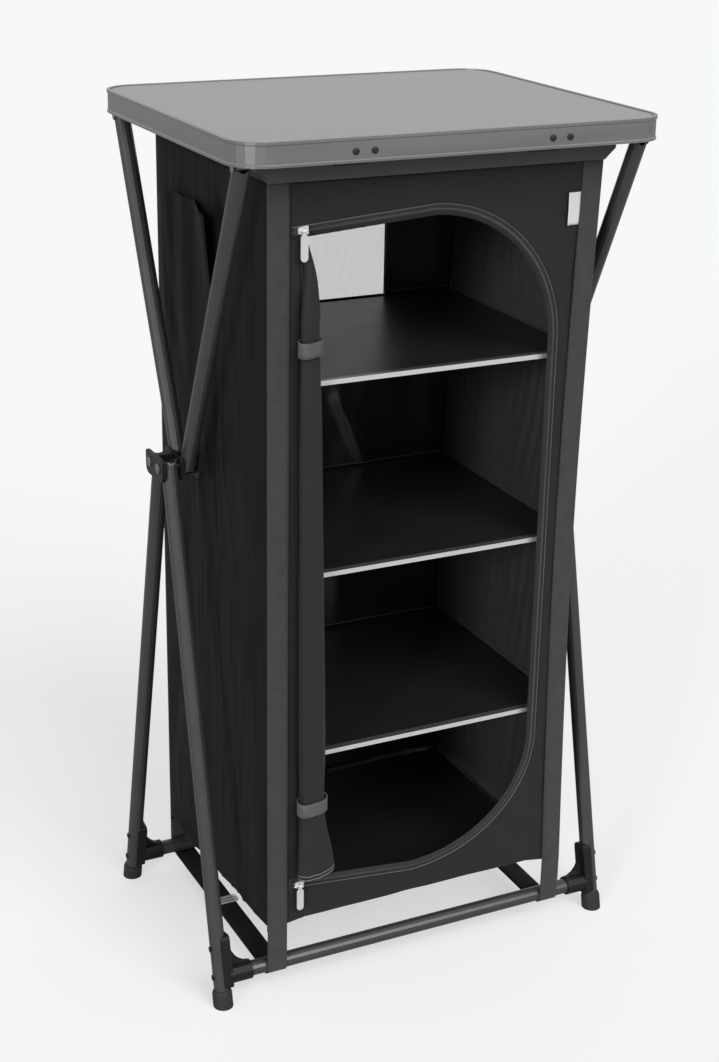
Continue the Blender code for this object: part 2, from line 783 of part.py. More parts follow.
def build_door_zip():
    """The half of the zip that stays on the panel, with short tails past the door's hinge side."""
    inner, outer = door_outline(gap, zip_tail), door_outline(zip_width, zip_tail)
    n = len(inner)
    faces_y = (-zip_face, -zip_face + zip_thickness)
    points = [(x, y, z) for y in faces_y for line in (inner, outer) for x, z in line]
    faces = []
    for k in range(n - 1):
        a, b, c, d = k, n + k, 3 * n + k, 2 * n + k
        for p, q in ((a, b), (b, c), (c, d), (d, a)):
            faces.append((p, p + 1, q + 1, q))
    faces += [(0, n, 3 * n, 2 * n), (n - 1, 2 * n - 1, 4 * n - 1, 3 * n - 1)]
    return finish(solid("door_zip", points, faces), zip_tape, smooth=None)


def webbing(name, path, width, middle):
    """A flat strap along a path in the YZ plane; its middle may wander in X."""
    outline = strip_outline(path, strap_thickness)
    n = len(path)
    left, right = outline[:n], outline[n:][::-1]
    points = []
    for (ya, za), (yb, zb) in zip(left, right):
        x = middle((za + zb) / 2)
        for dx in (-width / 2, width / 2):
            points += [(x + dx, ya, za), (x + dx, yb, zb)]
    faces = [(0, 1, 3, 2), tuple(4 * (n - 1) + i for i in (0, 1, 3, 2))]
    for k in range(n - 1):
        a, b = 4 * k, 4 * (k + 1)
        for i, j in ((0, 1), (1, 3), (3, 2), (2, 0)):
            faces.append((a + i, a + j, b + j, b + i))
    return finish(solid(name, points, faces), strap_web)


def build_straps():
    """Each strap runs down a corner and under its base rail, where the base band takes over."""
    centre = cabinet_half - strap_inset
    ring = tube_radius + gap + strap_thickness / 2
    heights = [fabric_top + (rail_height - fabric_top) * k / 12 for k in range(12)]
    for end, direction in (("front", -1), ("rear", 1)):
        wrap = arc((rail_y, rail_height), (ring, ring), 0, -pi / 2, 6)
        path = [(direction * y, z) for y, z in [(strap_y, z) for z in heights] + wrap]
        webbing(f"corner_strap_{end}_left", path, strap_width, lambda z: -centre)
        webbing(f"corner_strap_{end}_right", path, strap_width, lambda z: centre - side_bow(z))


def build_base_bands():
    """The bands run from the front straps' ends back to the rear ones, level under the rails."""
    low = rail_height - tube_radius - gap - strap_thickness / 2
    reach = rail_y - gap
    path = [(-reach + 2 * reach * k / 4, low) for k in range(5)]
    for side, sign in (("left", -1), ("right", 1)):
        webbing(f"base_band_{side}", path, base_band_width, lambda z: sign * base_band_offset)


def roll_section(z):
    """Left edge, half width and half depth of the rolled door at a height."""
    below_top = roll_top - z
    neck = 1 - min(1, below_top / roll_neck_height)
    left = door_left + roll_inset + roll_neck_inset * sqrt(neck)
    down = min(1, below_top / (roll_top - upper_tie_height))
    half = roll_top_half + (roll_tied_half - roll_top_half) * sqrt(down)
    half += roll_growth * below_top / (roll_top - roll_bottom)
    return left, half, roll_depth_share * half + roll_core_depth


def tie_squeeze(z):
    """The ties draw the roll in; it swells back to its full section past them."""
    beyond = min(abs(z - upper_tie_height), abs(z - lower_tie_height)) - tie_reach
    return roll_squeeze + (1 - roll_squeeze) * min(1, max(0, beyond) / roll_squeeze_run) ** 2


def roll_heights():
    """Heights of the roll's rings, with a ring just past each edge of the ties."""
    stops = [roll_top, upper_tie_height + tie_reach, upper_tie_height - tie_reach]
    stops += [lower_tie_height + tie_reach, lower_tie_height - tie_reach, roll_bottom]
    heights = [roll_top]
    for high, low, steps in zip(stops, stops[1:], (5, 1, 14, 1, 4)):
        heights += [high + (low - high) * (k + 1) / steps for k in range(steps)]
    return heights


def build_door_roll():
    """The door, rolled up to the left in long folds; a tail of cloth runs to the panel's edge."""
    heights, sides, tail = roll_heights(), 18, 8
    rings = len(heights)
    points = []
    for z in heights:
        left, half, deep = roll_section(z)
        squeeze = tie_squeeze(z)
        middle = left + half
        tied = min(abs(z - upper_tie_height), abs(z - lower_tie_height)) < tie_reach + gap
        for k in range(sides):
            turn = 2 * pi * k / sides
            if k == tail and not tied:
                points.append((door_left + gap, -panel_back - fabric_thickness / 2, z))
                continue
            fold = 1 - roll_fold_share * (1 + cos(5 * turn + 7 * z))
            x = middle + half * squeeze * fold * cos(turn)
            y = -roll_back - deep + deep * squeeze * fold * sin(turn)
            points.append((x, y, z))
    faces = [tuple(range(sides)), tuple(range((rings - 1) * sides, rings * sides))]
    for r in range(rings - 1):
        for k in range(sides):
            a, b = r * sides + k, r * sides + (k + 1) % sides
            faces.append((a, b, b + sides, a + sides))
    return finish(solid("door_roll", points, faces), fabric)


def build_tie(name, height):
    left, half, deep = roll_section(height)
    _, half_below, deep_below = roll_section(height - tie_reach)
    spare = gap + half_below - half
    inner = (half_below * roll_squeeze + spare, deep_below * roll_squeeze + spare)
    outer = (inner[0] + tie_thickness, inner[1] + tie_thickness)
    centre = (left + half, -roll_back - deep)
    sides = 24
    loops = [arc(centre, radii, 0, 2 * pi * (1 - 1 / sides), sides - 1) for radii in (outer, inner)]
    ends = (height - tie_width / 2, height + tie_width / 2)
    points = [(x, y, z) for z in ends for loop in loops for x, y in loop]
    faces = []
    for k in range(sides):
        n = (k + 1) % sides
        for a, b in ((0, 1), (1, 3), (3, 2), (2, 0)):
            faces.append((a * sides + k, a * sides + n, b * sides + n, b * sides + k))
    return finish(solid(name, points, faces), strap_web)


# Zip sliders


def slider_place(bottom):
    """The middle of a parked slider on the track's straight stretch, and the track's slope."""
    if bottom:
        run = Vector((door_bottom_bend - door_left, door_bottom - door_bottom_left))
        start = Vector((door_left, door_bottom_left - zip_width / 2))
    else:
        run = Vector((door_top_bend - door_left, door_top - door_top_left))
        start = Vector((door_left, door_top_left + zip_width / 2))
    return start, atan2(run.y, run.x)


def on_track(outline, place, slope):
    """Turn an outline drawn along the zip onto the zip's slope, at a place on the zip."""
    return [
        (place.x + a * cos(slope) - b * sin(slope), place.y + a * sin(slope) + b * cos(slope))
        for a, b in outline
    ]


def build_slider(name, bottom):
    """A die-cast slider: a shield-shaped body with a bail for the puller."""
    (x, z), slope = slider_place(bottom)
    half, wide, nose = slider_length / 2, slider_width / 2, slider_width / 3
    shield = [(-half, -nose), (0, -wide), (half, -wide), (half, wide), (0, wide), (-half, nose)]
    shield = on_track(shield, Vector((0, 0)), slope)
    slider = prism(name, shield, "y", -slider_face + bail_y, -zip_face - gap + bail_y)
    reach = bail_width / 2
    for side in (-1, 1):
        inner, outer = side * (reach - bail_wire), side * reach
        low = (min(inner, outer), -bail_wire / 2, -bail_wire / 2)
        high = (max(inner, outer), bail_reach + slider_thickness / 2, bail_wire / 2)
        slider = fuse(slider, box("post", low, high))
    ends = (-reach + bail_wire / 2, reach - bail_wire / 2)
    slider = fuse(slider, rod("bar", bail_wire / 2, "x", *ends, sides=8))
    finish(slider, zinc)
    slider.location = (x, -bail_y, z)
    return slider


def build_puller(name, bottom):
    """A flat pull tab that hangs from the bail by its knuckle."""
    (x, z), _ = slider_place(bottom)
    half = knuckle_length / 2
    wide = puller_width / 2
    neck, shoulder = -puller_neck_length, -puller_neck_length - puller_shoulder_length
    tip = arc((0, -puller_length + wide), (wide, wide), 0, -pi, 8)
    outline = [(half, 0), (half, neck), (wide, shoulder)] + tip
    outline += [(-wide, shoulder), (-half, neck), (-half, 0)]
    tab = prism(name, outline, "y", -puller_thickness / 2, puller_thickness / 2)
    tab = fuse(tab, rod("knuckle", knuckle_diameter / 2, "x", -half, half, sides=12))
    tab = cut(tab, rod("eye", bail_wire / 2 + gap, "x", -2 * half, 2 * half, sides=8))
    finish(tab, zinc)
    tab.location = (x, -bail_y, z)
    return tab


def build_zip_stop(name, bottom):
    """The crimped metal stop at an end of the zip, just behind the parked slider."""
    near, wide = -slider_length / 2 - gap, zip_width / 2
    outline = [(near, -wide), (near, wide), (near - stop_length, wide), (near - stop_length, -wide)]
    outline = on_track(outline, *slider_place(bottom))
    stop = prism(name, outline, "y", -slider_face + slider_thickness / 3, -zip_face - gap)
    return finish(stop, zinc, smooth=None)


# Shelves


def build_shelves():
    """Each shelf's front edge is rebated on top for its channel; the floor board's is plain."""
    front = -shelf_half_depth + edge_wall + gap
    step = -shelf_half_depth + edge_depth + gap
    for number, top in enumerate(shelf_heights, start=1):
        low = top - shelf_thickness
        outline = [(shelf_half_depth, top), (shelf_half_depth, low), (front, low)]
        if number < len(shelf_heights):
            outline += [(front, top - edge_rebate), (step, top - edge_rebate), (step, top)]
            build_shelf_edge(f"shelf_edge_{number}", top)
        else:
            outline += [(front, top)]
        board = prism(f"shelf_board_{number}", outline, "x", shelf_left, shelf_right)
        finish(board, black_board, smooth=None)


def build_shelf_edge(name, top):
    """A bright channel pushed over the front edge of a shelf board."""
    inner_top, inner_low = top - edge_rebate + gap, top - shelf_thickness - gap
    outer_top, outer_low = inner_top + edge_wall, inner_low - edge_wall
    front, back = -shelf_half_depth, -shelf_half_depth + edge_depth
    channel = [
        (front, outer_low),
        (back, outer_low),
        (back, inner_low),
        (front + edge_wall, inner_low),
        (front + edge_wall, inner_top),
        (back, inner_top),
        (back, outer_top),
        (front, outer_top),
    ]
    return finish(prism(name, channel, "x", shelf_left, shelf_right), bright_trim, smooth=None)


def hang_on_pivot(name, location, pieces):
    """An empty on a joint's axis that carries the pieces which swing about it."""
    pivot = bpy.data.objects.new(name, None)
    pivot.location = location
    bpy.context.collection.objects.link(pivot)
    for piece in pieces:
        piece.parent = pivot
        piece.matrix_parent_inverse = Matrix.Translation(location).inverted()


clear_scene()
laminate = make_material("laminate", (0.36, 0.36, 0.35), 0.5)
aluminium = make_material("brushed_aluminium", (0.17, 0.17, 0.17), 0.38, 1.0)
powder_coat = make_material("powder_coat", (0.09, 0.09, 0.09), 0.55)
black_steel = make_material("black_steel", (0.03, 0.03, 0.03), 0.45, 0.6)
steel = make_material("steel", (0.25, 0.25, 0.25), 0.35, 1.0)
black_plastic = make_material("black_plastic", (0.02, 0.02, 0.02), 0.5)
rubber = make_material("rubber", (0.02, 0.02, 0.02), 0.8)
black_board = make_material("black_board", (0.015, 0.015, 0.015), 0.6)
fabric = make_material("fabric", (0.018, 0.018, 0.018), 0.9)
strap_web = make_material("strap_web", (0.07, 0.07, 0.07), 0.85)
zip_tape = make_material("zip_tape", (0.12, 0.12, 0.12), 0.8)
zinc = make_material("zinc", (0.7, 0.7, 0.7), 0.3, 1.0)
bright_trim = make_material("bright_trim", (0.75, 0.75, 0.75), 0.35, 0.6)

build_tabletop_rim()
build_tabletop_board()
build_clip("front_clip_left", -clip_offset, -1, front_clip_wrap)
build_clip("front_clip_right", clip_offset, -1, front_clip_wrap)
build_clip("rear_clip_left", -clip_offset, 1, rear_clip_wrap)
build_clip("rear_clip_right", clip_offset, 1, rear_clip_wrap)
build_carrier_board()
build_wall("left_wall", lambda y, z: cabinet_half + wall_swell(y, z) + pocket_swell(y, z), -1)
build_wall("right_wall", lambda y, z: cabinet_half - side_bow(z) + wall_swell(y, z) / 2, 1)
build_panels()
build_straps()
build_door_zip()
build_door_roll()
build_tie("door_tie_upper", upper_tie_height)
build_tie("door_tie_lower", lower_tie_height)
for zip_end, at_bottom in (("upper", False), ("lower", True)):
    build_slider(f"{zip_end}_zip_slider", at_bottom)
    build_puller(f"{zip_end}_zip_puller", at_bottom)
    build_zip_stop(f"{zip_end}_zip_stop", at_bottom)
build_shelves()
hang_on_pivot("worktop_pivot", (0, hinge_y, hinge_z), list(bpy.data.objects))

build_hub("left", -1)
build_hub("right", 1)
for frame_end, frame_direction in (("front", -1), ("rear", 1)):
    build_upper_frame(frame_end, frame_direction)
    build_lower_frame(frame_end, frame_direction)
build_base_bands()
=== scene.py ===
import json
from math import cos, exp, hypot, pi, radians, sin, sqrt

import bmesh
import bpy
from mathutils import Matrix, Vector, kdtree, noise


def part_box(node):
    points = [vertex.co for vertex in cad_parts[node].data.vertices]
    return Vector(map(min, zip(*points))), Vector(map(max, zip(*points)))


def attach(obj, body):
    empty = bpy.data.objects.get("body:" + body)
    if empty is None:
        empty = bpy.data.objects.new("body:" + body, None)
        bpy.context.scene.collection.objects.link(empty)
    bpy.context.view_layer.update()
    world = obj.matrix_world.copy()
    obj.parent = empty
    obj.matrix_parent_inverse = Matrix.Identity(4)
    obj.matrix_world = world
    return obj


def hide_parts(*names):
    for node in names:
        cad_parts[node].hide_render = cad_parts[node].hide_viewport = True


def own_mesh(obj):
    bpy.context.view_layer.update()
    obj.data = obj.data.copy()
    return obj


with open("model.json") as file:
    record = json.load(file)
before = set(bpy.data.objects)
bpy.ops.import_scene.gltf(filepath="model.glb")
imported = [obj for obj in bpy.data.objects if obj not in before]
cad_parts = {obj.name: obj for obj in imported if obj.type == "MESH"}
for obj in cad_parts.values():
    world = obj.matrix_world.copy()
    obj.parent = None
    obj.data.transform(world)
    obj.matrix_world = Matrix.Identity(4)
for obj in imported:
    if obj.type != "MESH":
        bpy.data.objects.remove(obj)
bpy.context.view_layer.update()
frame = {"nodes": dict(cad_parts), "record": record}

mm = 0.001


def say(stage):
    print("cupboard:", stage)


# places read from the frame
panelLow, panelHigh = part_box("front_panel")
fabricTop, panelFace, panelBack, cabinetHalf = panelHigh.z, -panelLow.y, -panelHigh.y, -panelLow.x
shelfTops = [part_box("shelf_board_" + str(k))[1].z for k in (1, 2, 3, 4)]
railLow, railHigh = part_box("base_rail_front")
railY, railZ = -(railLow.y + railHigh.y) / 2, (railLow.z + railHigh.z) / 2
tubeRadius = (railHigh.z - railLow.z) / 2
strapFace = -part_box("corner_strap_front_left")[0].y
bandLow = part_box("base_band_left")[0]
tapeFace = -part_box("door_zip")[0].y

# the share of its height, or of a band's length, that a piece would keep when the frame lies folded flat; no
# piece here is folded by it
crumple = {"cloth": 0.066, "seams": 0.06, "bands": 0.04, "roll": 0.004}
thick = {"cloth": 1.2 * mm, "binding": 1.0 * mm, "light": 0.5 * mm}

# finishes
studio = {
    "backdrop": (0.905, 0.92, 0.935), "reflected": 0.6, "ambient": 0.42,
    "floorColour": (0.46, 0.462, 0.465), "floorLift": 0.58, "floorReach": 60,
    "keySun": 1.6, "keyFrom": (0.2, -1.0, 0.95), "keySoftness": 38,
    "fillSun": 1.25, "fillFrom": (-1.3, -1.0, 0.45), "fillSoftness": 14,
}


def addNode(tree, kind, **values):
    node = tree.nodes.new(kind)
    for key, value in values.items():
        if key in node.inputs:
            node.inputs[key].default_value = value
        else:
            setattr(node, key, value)
    return node


def newFinish(name, rough, metal=0.0, **fixed):
    finish = bpy.data.materials.new(name)
    finish.use_nodes = True
    shader = finish.node_tree.nodes["Principled BSDF"]
    shader.inputs["Roughness"].default_value = rough
    shader.inputs["Metallic"].default_value = metal
    for socket, value in fixed.items():
        shader.inputs[socket.replace("_", " ")].default_value = value
    return finish, finish.node_tree, shader


def objectPlace(tree, stretch=(1, 1, 1)):
    place = addNode(tree, "ShaderNodeTexCoord")
    scaled = addNode(tree, "ShaderNodeMapping", Scale=stretch)
    tree.links.new(place.outputs["Object"], scaled.inputs["Vector"])
    return scaled.outputs["Vector"]


def mottle(tree, shader, colour, spread, source):
    # colour that drifts a little darker and lighter with the pattern
    ramp = addNode(tree, "ShaderNodeValToRGB")
    ramp.color_ramp.elements[0].position = 0.25
    ramp.color_ramp.elements[1].position = 0.75
    ramp.color_ramp.elements[0].color = (*[c * (1 - spread) for c in colour], 1)
    ramp.color_ramp.elements[1].color = (*[min(1, c * (1 + spread)) for c in colour], 1)
    tree.links.new(source, ramp.inputs["Fac"])
    tree.links.new(ramp.outputs["Color"], shader.inputs["Base Color"])


def varyRoughness(tree, shader, low, high, source):
    spanned = addNode(tree, "ShaderNodeMapRange")
    spanned.inputs["To Min"].default_value = low
    spanned.inputs["To Max"].default_value = high
    tree.links.new(source, spanned.inputs["Value"])
    tree.links.new(spanned.outputs["Result"], shader.inputs["Roughness"])


def addBump(tree, shader, source, strength, distance):
    bump = addNode(tree, "ShaderNodeBump", Strength=strength, Distance=distance)
    tree.links.new(source, bump.inputs["Height"])
    tree.links.new(bump.outputs["Normal"], shader.inputs["Normal"])


def splitPlace(tree, kind):
    place = addNode(tree, "ShaderNodeTexCoord")
    parts = addNode(tree, "ShaderNodeSeparateXYZ")
    tree.links.new(place.outputs[kind], parts.inputs["Vector"])
    return parts.outputs


def maths(tree, operation, *operands):
    # each operand is a socket or a plain number
    node = addNode(tree, "ShaderNodeMath", operation=operation)
    for k, operand in enumerate(operands):
        if isinstance(operand, (int, float)):
            node.inputs[k].default_value = operand
        else:
            tree.links.new(operand, node.inputs[k])
    return node.outputs["Value"]


def noiseAt(tree, place, scale, detail):
    texture = addNode(tree, "ShaderNodeTexNoise", Scale=scale, Detail=detail)
    tree.links.new(place, texture.inputs["Vector"])
    return texture.outputs["Fac"]


broaderGrain = 40


def grainedFinish(name, colour, rough, metal=0.0, grain=900, stretch=(1, 1, 1), spread=0.08,
                  roughSpread=0.06, strength=0.25, distance=0.0002, **fixed):
    finish, tree, shader = newFinish(name, rough, metal, **fixed)
    place = objectPlace(tree, stretch)
    fine, broad = noiseAt(tree, place, grain, 3.0), noiseAt(tree, place, grain / broaderGrain, 4.0)
    mottle(tree, shader, colour, spread, broad)
    varyRoughness(tree, shader, rough - roughSpread, rough + roughSpread, broad)
    addBump(tree, shader, fine, strength, distance)
    return finish


weaveLook = {"sheenRough": 0.45, "streaks": ((40, 40, 900), (900, 900, 40)), "relief": 0.25}


def wovenFinish(name, colour, rough, thread, spread=0.12, strength=0.35, sheen=0.08, gloss=0.25):
    # plain weave over the upright cloth, with the cloth's own faint streaks along both threads
    finish, tree, shader = newFinish(name, rough, Sheen_Weight=sheen, Specular_IOR_Level=gloss,
                                     Sheen_Roughness=weaveLook["sheenRough"])
    parts = splitPlace(tree, "Object")
    across = maths(tree, "ADD", parts["X"], parts["Y"])
    waves = [maths(tree, "SINE", maths(tree, "MULTIPLY", source, pi / thread))
             for source in (across, parts["Z"])]
    halves = []
    for stretch in weaveLook["streaks"]:
        streak = noiseAt(tree, objectPlace(tree, stretch), 1.0, 2.0)
        halves.append(maths(tree, "MULTIPLY", streak, 0.5))
    mottle(tree, shader, colour, spread, maths(tree, "ADD", *halves))
    addBump(tree, shader, maths(tree, "MULTIPLY", *waves), strength, thread * weaveLook["relief"])
    return finish


ribLook = {"sheenRough": 0.5, "waves": 0.314, "wobble": 0.6, "blotches": 60.0, "spread": 0.14,
           "relief": 0.0004}


def ribbedFinish(name, colour, rough, rib, strength=0.5, sheen=0.12, gloss=0.25):
    # webbing: ribs across its run, which is upright or along the base
    finish, tree, shader = newFinish(name, rough, Sheen_Weight=sheen, Specular_IOR_Level=gloss,
                                     Sheen_Roughness=ribLook["sheenRough"])
    parts = splitPlace(tree, "Object")
    along = maths(tree, "ADD", parts["Y"], parts["Z"])
    joined = addNode(tree, "ShaderNodeCombineXYZ")
    tree.links.new(maths(tree, "MULTIPLY", along, ribLook["waves"] / rib), joined.inputs["X"])
    wave = addNode(tree, "ShaderNodeTexWave", wave_type="BANDS", bands_direction="X", Scale=1.0,
                   Distortion=ribLook["wobble"], Detail=1.0)
    tree.links.new(joined.outputs["Vector"], wave.inputs["Vector"])
    broad = noiseAt(tree, objectPlace(tree), ribLook["blotches"], 4.0)
    mottle(tree, shader, colour, ribLook["spread"], broad)
    addBump(tree, shader, wave.outputs["Fac"], strength, ribLook["relief"])
    return finish


finishes = {
    "laminate": grainedFinish("lightLaminate", (0.335, 0.328, 0.333), 0.42, grain=1400, spread=0.025,
                              roughSpread=0.05, strength=0.08, distance=0.0001),
    "brushed_aluminium": grainedFinish("brushedEdge", (0.33, 0.33, 0.327), 0.38, metal=0.9, grain=60,
                                       stretch=(1, 1, 22), spread=0.16, roughSpread=0.08,
                                       strength=0.12, distance=0.0002),
    "powder_coat": grainedFinish("greyPowderCoat", (0.08, 0.08, 0.079), 0.3, metal=0.5,
                                 grain=1500, spread=0.06, strength=0.22, distance=0.0001),
    "black_steel": grainedFinish("blackSteel", (0.03, 0.03, 0.03), 0.4, metal=0.5, grain=1200),
    "steel": grainedFinish("platedSteel", (0.25, 0.25, 0.25), 0.35, metal=0.9, grain=700),
    "black_plastic": grainedFinish("blackMoulding", (0.009, 0.009, 0.0094), 0.42, grain=1600,
                                   strength=0.3, distance=0.0002, Specular_IOR_Level=0.3),
    "rubber": grainedFinish("blackRubber", (0.017, 0.017, 0.017), 0.72, grain=700,
                            strength=0.3, distance=0.0002),
    "black_board": grainedFinish("blackBoard", (0.016, 0.016, 0.0165), 0.35, grain=900,
                                 strength=0.1, roughSpread=0.08),
    "zinc": grainedFinish("brightZinc", (0.9, 0.9, 0.9), 0.3, metal=0.6, grain=500, strength=0.1),
    "bright_trim": grainedFinish("brightChannel", (0.85, 0.85, 0.85), 0.3, metal=0.6, grain=400,
                                 stretch=(0.1, 1, 1), strength=0.08),
}


def darkenTops(finish, keep):
    # the channel's top lip lies dark beside its bright front
    tree = finish.node_tree
    shader = tree.nodes["Principled BSDF"]
    span = addNode(tree, "ShaderNodeMapRange")
    for socket, value in (("From Min", 0.5), ("To Min", 1.0), ("To Max", keep)):
        span.inputs[socket].default_value = value
    tree.links.new(splitPlace(tree, "Normal")["Z"], span.inputs["Value"])
    shade = addNode(tree, "ShaderNodeMix", data_type="RGBA", blend_type="MULTIPLY", Factor=1.0)
    firstColour, secondColour, mixedColour = shade.inputs[6], shade.inputs[7], shade.outputs[2]
    tree.links.new(shader.inputs["Base Color"].links[0].from_socket, firstColour)
    tree.links.new(span.outputs["Result"], secondColour)
    tree.links.new(mixedColour, shader.inputs["Base Color"])


darkenTops(finishes["bright_trim"], 0.2)
panelCloth = wovenFinish("panelCloth", (0.018, 0.018, 0.0187), 0.75, 1.0 * mm)
# the same cloth as panelCloth, painted darker as painted shade for the dimmer side walls; the rear panel and
# the pocket take it too
clothWithPaintedShade = wovenFinish("clothWithPaintedShade", (0.006, 0.006, 0.0063), 0.75, 1.0 * mm, spread=0.05, sheen=0.03,
                        gloss=0.14)
# the walls' glossy inner coat, painted much lighter than the cloth as painted light inside the compartments
innerCoatPaintedLighter = wovenFinish("innerCoatPaintedLighter", (0.043, 0.043, 0.0439), 0.45, 1.0 * mm, strength=0.2, sheen=0.03,
                        gloss=0.35)
rearCoat = wovenFinish("rearCoat", (0.004, 0.004, 0.0042), 0.24, 1.0 * mm, strength=0.1, sheen=0.0,
                       gloss=0.75)
# the door's cloth, painted a little lighter than panelCloth as painted light on the roll
rollClothPaintedLighter = wovenFinish("rollClothPaintedLighter", (0.021, 0.021, 0.0217), 0.75, 1.0 * mm)
strapWeb = ribbedFinish("strapWeb", (0.048, 0.048, 0.049), 0.7, 1.6 * mm)
# the corner straps' webbing, painted much darker as painted shade on the base bands under the cabinet; the
# window's binding takes it too
webbingWithPaintedShade = ribbedFinish("webbingWithPaintedShade", (0.008, 0.008, 0.0084), 0.75, 1.6 * mm, sheen=0.04, gloss=0.12)
tieWeb = ribbedFinish("tieWeb", (0.105, 0.105, 0.106), 0.7, 1.4 * mm)
zipTape = wovenFinish("zipTape", (0.024, 0.024, 0.025), 0.7, 0.7 * mm)
zipCoil = grainedFinish("zipCoil", (0.075, 0.075, 0.076), 0.45, grain=600, strength=0.1)
rollEdge = grainedFinish("rollEdge", (0.13, 0.13, 0.132), 0.45, grain=600, strength=0.1)
seamWelt = grainedFinish("seamWelt", (0.055, 0.055, 0.056), 0.5, grain=1500, strength=0.2)
panelThread = grainedFinish("panelThread", (0.022, 0.022, 0.0225), 0.7, grain=2000, strength=0.2)
strapThread = grainedFinish("strapThread", (0.04, 0.04, 0.041), 0.6, grain=2000, strength=0.2)
tagCloth = wovenFinish("tagCloth", (0.72, 0.72, 0.72), 0.6, 0.6 * mm, spread=0.03)
netThread = grainedFinish("netThread", (0.1, 0.1, 0.1), 0.6, grain=2000, strength=0.1)
zipStop = grainedFinish("zipStop", (0.03, 0.03, 0.031), 0.5, grain=700, strength=0.1)
# the carrier's black board, painted lighter than the same board on the shelves, as painted light under the
# worktop
carrierBoardPaintedLighter = grainedFinish("carrierBoardPaintedLighter", (0.055, 0.055, 0.0557), 0.4, grain=900, strength=0.1)
special = {"upper_zip_stop": zipStop, "lower_zip_stop": zipStop, "carrier_board": carrierBoardPaintedLighter}

for row in frame["record"]["subparts"]:
    if row["material_slot"] in finishes:
        node = frame["nodes"][row["node"]]
        finish = special.get(row["node"], finishes[row["material_slot"]])
        node.data.materials.clear()
        node.data.materials.append(finish)
say("finishes")

# makers shared by the cloth pieces


def newPiece(name, mesh, finish, body="worktop", slot="fabric"):
    piece = bpy.data.objects.new(name, mesh)
    bpy.context.scene.collection.objects.link(piece)
    mesh.materials.clear()
    mesh.materials.append(finish)
    mesh.shade_smooth()
    piece["body"], piece["slotName"] = body, slot
    return piece


def settle(piece):
    # the cloth rides on the worktop or the front legs, and gets its own mesh
    body = piece["body"]
    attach(piece, body)
    if body == "worktop":
        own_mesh(piece)
    else:
        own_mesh(piece)
    return piece


def finishSheet(piece, thickness, node=None, offset=-1.0, even=True, coat=None):
    # gives a sheet its thickness and its inner coat, and hides the node that it stands for
    solid = piece.modifiers.new("thickness", "SOLIDIFY")
    solid.thickness, solid.offset, solid.use_even_offset = thickness, offset, even
    if coat:
        piece.data.materials.append(coat)
        solid.material_offset = 1
    if node:
        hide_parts(node)
    return settle(piece)


def cutCloth(outline, holes, step):
    # flat cloth in the XZ plane, cut to its outline and split into small cells so that it can fold
    cloth = bmesh.new()
    edges = []
    for loop in (outline, *holes):
        verts = [cloth.verts.new((u, 0, v)) for u, v in loop]
        edges += [cloth.edges.new((verts[i - 1], verts[i])) for i in range(len(verts))]
    bmesh.ops.triangle_fill(cloth, use_beauty=True, edges=edges)
    for axis in (0, 1):
        values = [p[axis] for p in outline]
        low, high = min(values), max(values)
        count = max(2, round((high - low) / step))
        normal = (1, 0, 0) if axis == 0 else (0, 0, 1)
        for at in evenly(low, high, count)[1:-1]:
            spot = (at, 0, 0) if axis == 0 else (0, 0, at)
            parts = cloth.verts[:] + cloth.edges[:] + cloth.faces[:]
            bmesh.ops.bisect_plane(cloth, geom=parts, plane_co=spot, plane_no=normal, dist=1e-6)
    bmesh.ops.remove_doubles(cloth, verts=cloth.verts, dist=1e-5)
    area = sum(f.calc_area() for f in cloth.faces)
    return cloth, area


def hangCloth(name, cloth, placeOf, outward, finish, **rest):
    # moves the flat cloth to its place and turns its faces outward
    flat = cloth.loops.layers.uv.new("cloth")
    for face in cloth.faces:
        for loop in face.loops:
            loop[flat].uv = (loop.vert.co.x, loop.vert.co.z)
    for vert in cloth.verts:
        vert.co = placeOf(vert.co.x, vert.co.z)
    cloth.normal_update()
    mean = sum((f.normal * f.calc_area() for f in cloth.faces), Vector())
    if mean.dot(Vector(outward)) < 0:
        bmesh.ops.reverse_faces(cloth, faces=cloth.faces[:])
    mesh = bpy.data.meshes.new(name)
    cloth.to_mesh(mesh)
    cloth.free()
    return newPiece(name, mesh, finish, **rest)


def gridPiece(name, rows, finish, **rest):
    # a mesh from rows of points of equal count
    across = len(rows[0])
    points = [p for row in rows for p in row]
    faces = [(r * across + c, r * across + c + 1, (r + 1) * across + c + 1, (r + 1) * across + c)
             for r in range(len(rows) - 1) for c in range(across - 1)]
    mesh = bpy.data.meshes.new(name)
    mesh.from_pydata([tuple(p) for p in points], [], faces)
    flat = mesh.uv_layers.new(name="cloth")
    for poly in mesh.polygons:
        for loop in poly.loop_indices:
            index = mesh.loops[loop].vertex_index
            flat.data[loop].uv = ((index % across) / (across - 1), (index // across) / (len(rows) - 1))
    return newPiece(name, mesh, finish, **rest)


def turnOutward(piece, away):
    # flips a sheet whose faces look the wrong way
    total = sum((p.normal * p.area for p in piece.data.polygons), Vector())
    if total.dot(Vector(away)) < 0:
        piece.data.flip_normals()
    return piece


def arcOf(centre, radii, start, end, steps):
    return [(centre[0] + radii[0] * cos(t), centre[1] + radii[1] * sin(t)) for t in evenly(start, end, steps)]


def evenly(low, high, steps):
    return [low + (high - low) * k / steps for k in range(steps + 1)]


def ripple(u, v, seed):
    return noise.noise(Vector((u, v, seed)))


def unit(value):
    return min(1, max(0, value))


def smooth(value):
    value = unit(value)
    return value * value * (3 - 2 * value)


# rows of small things along a path, made with Geometry Nodes


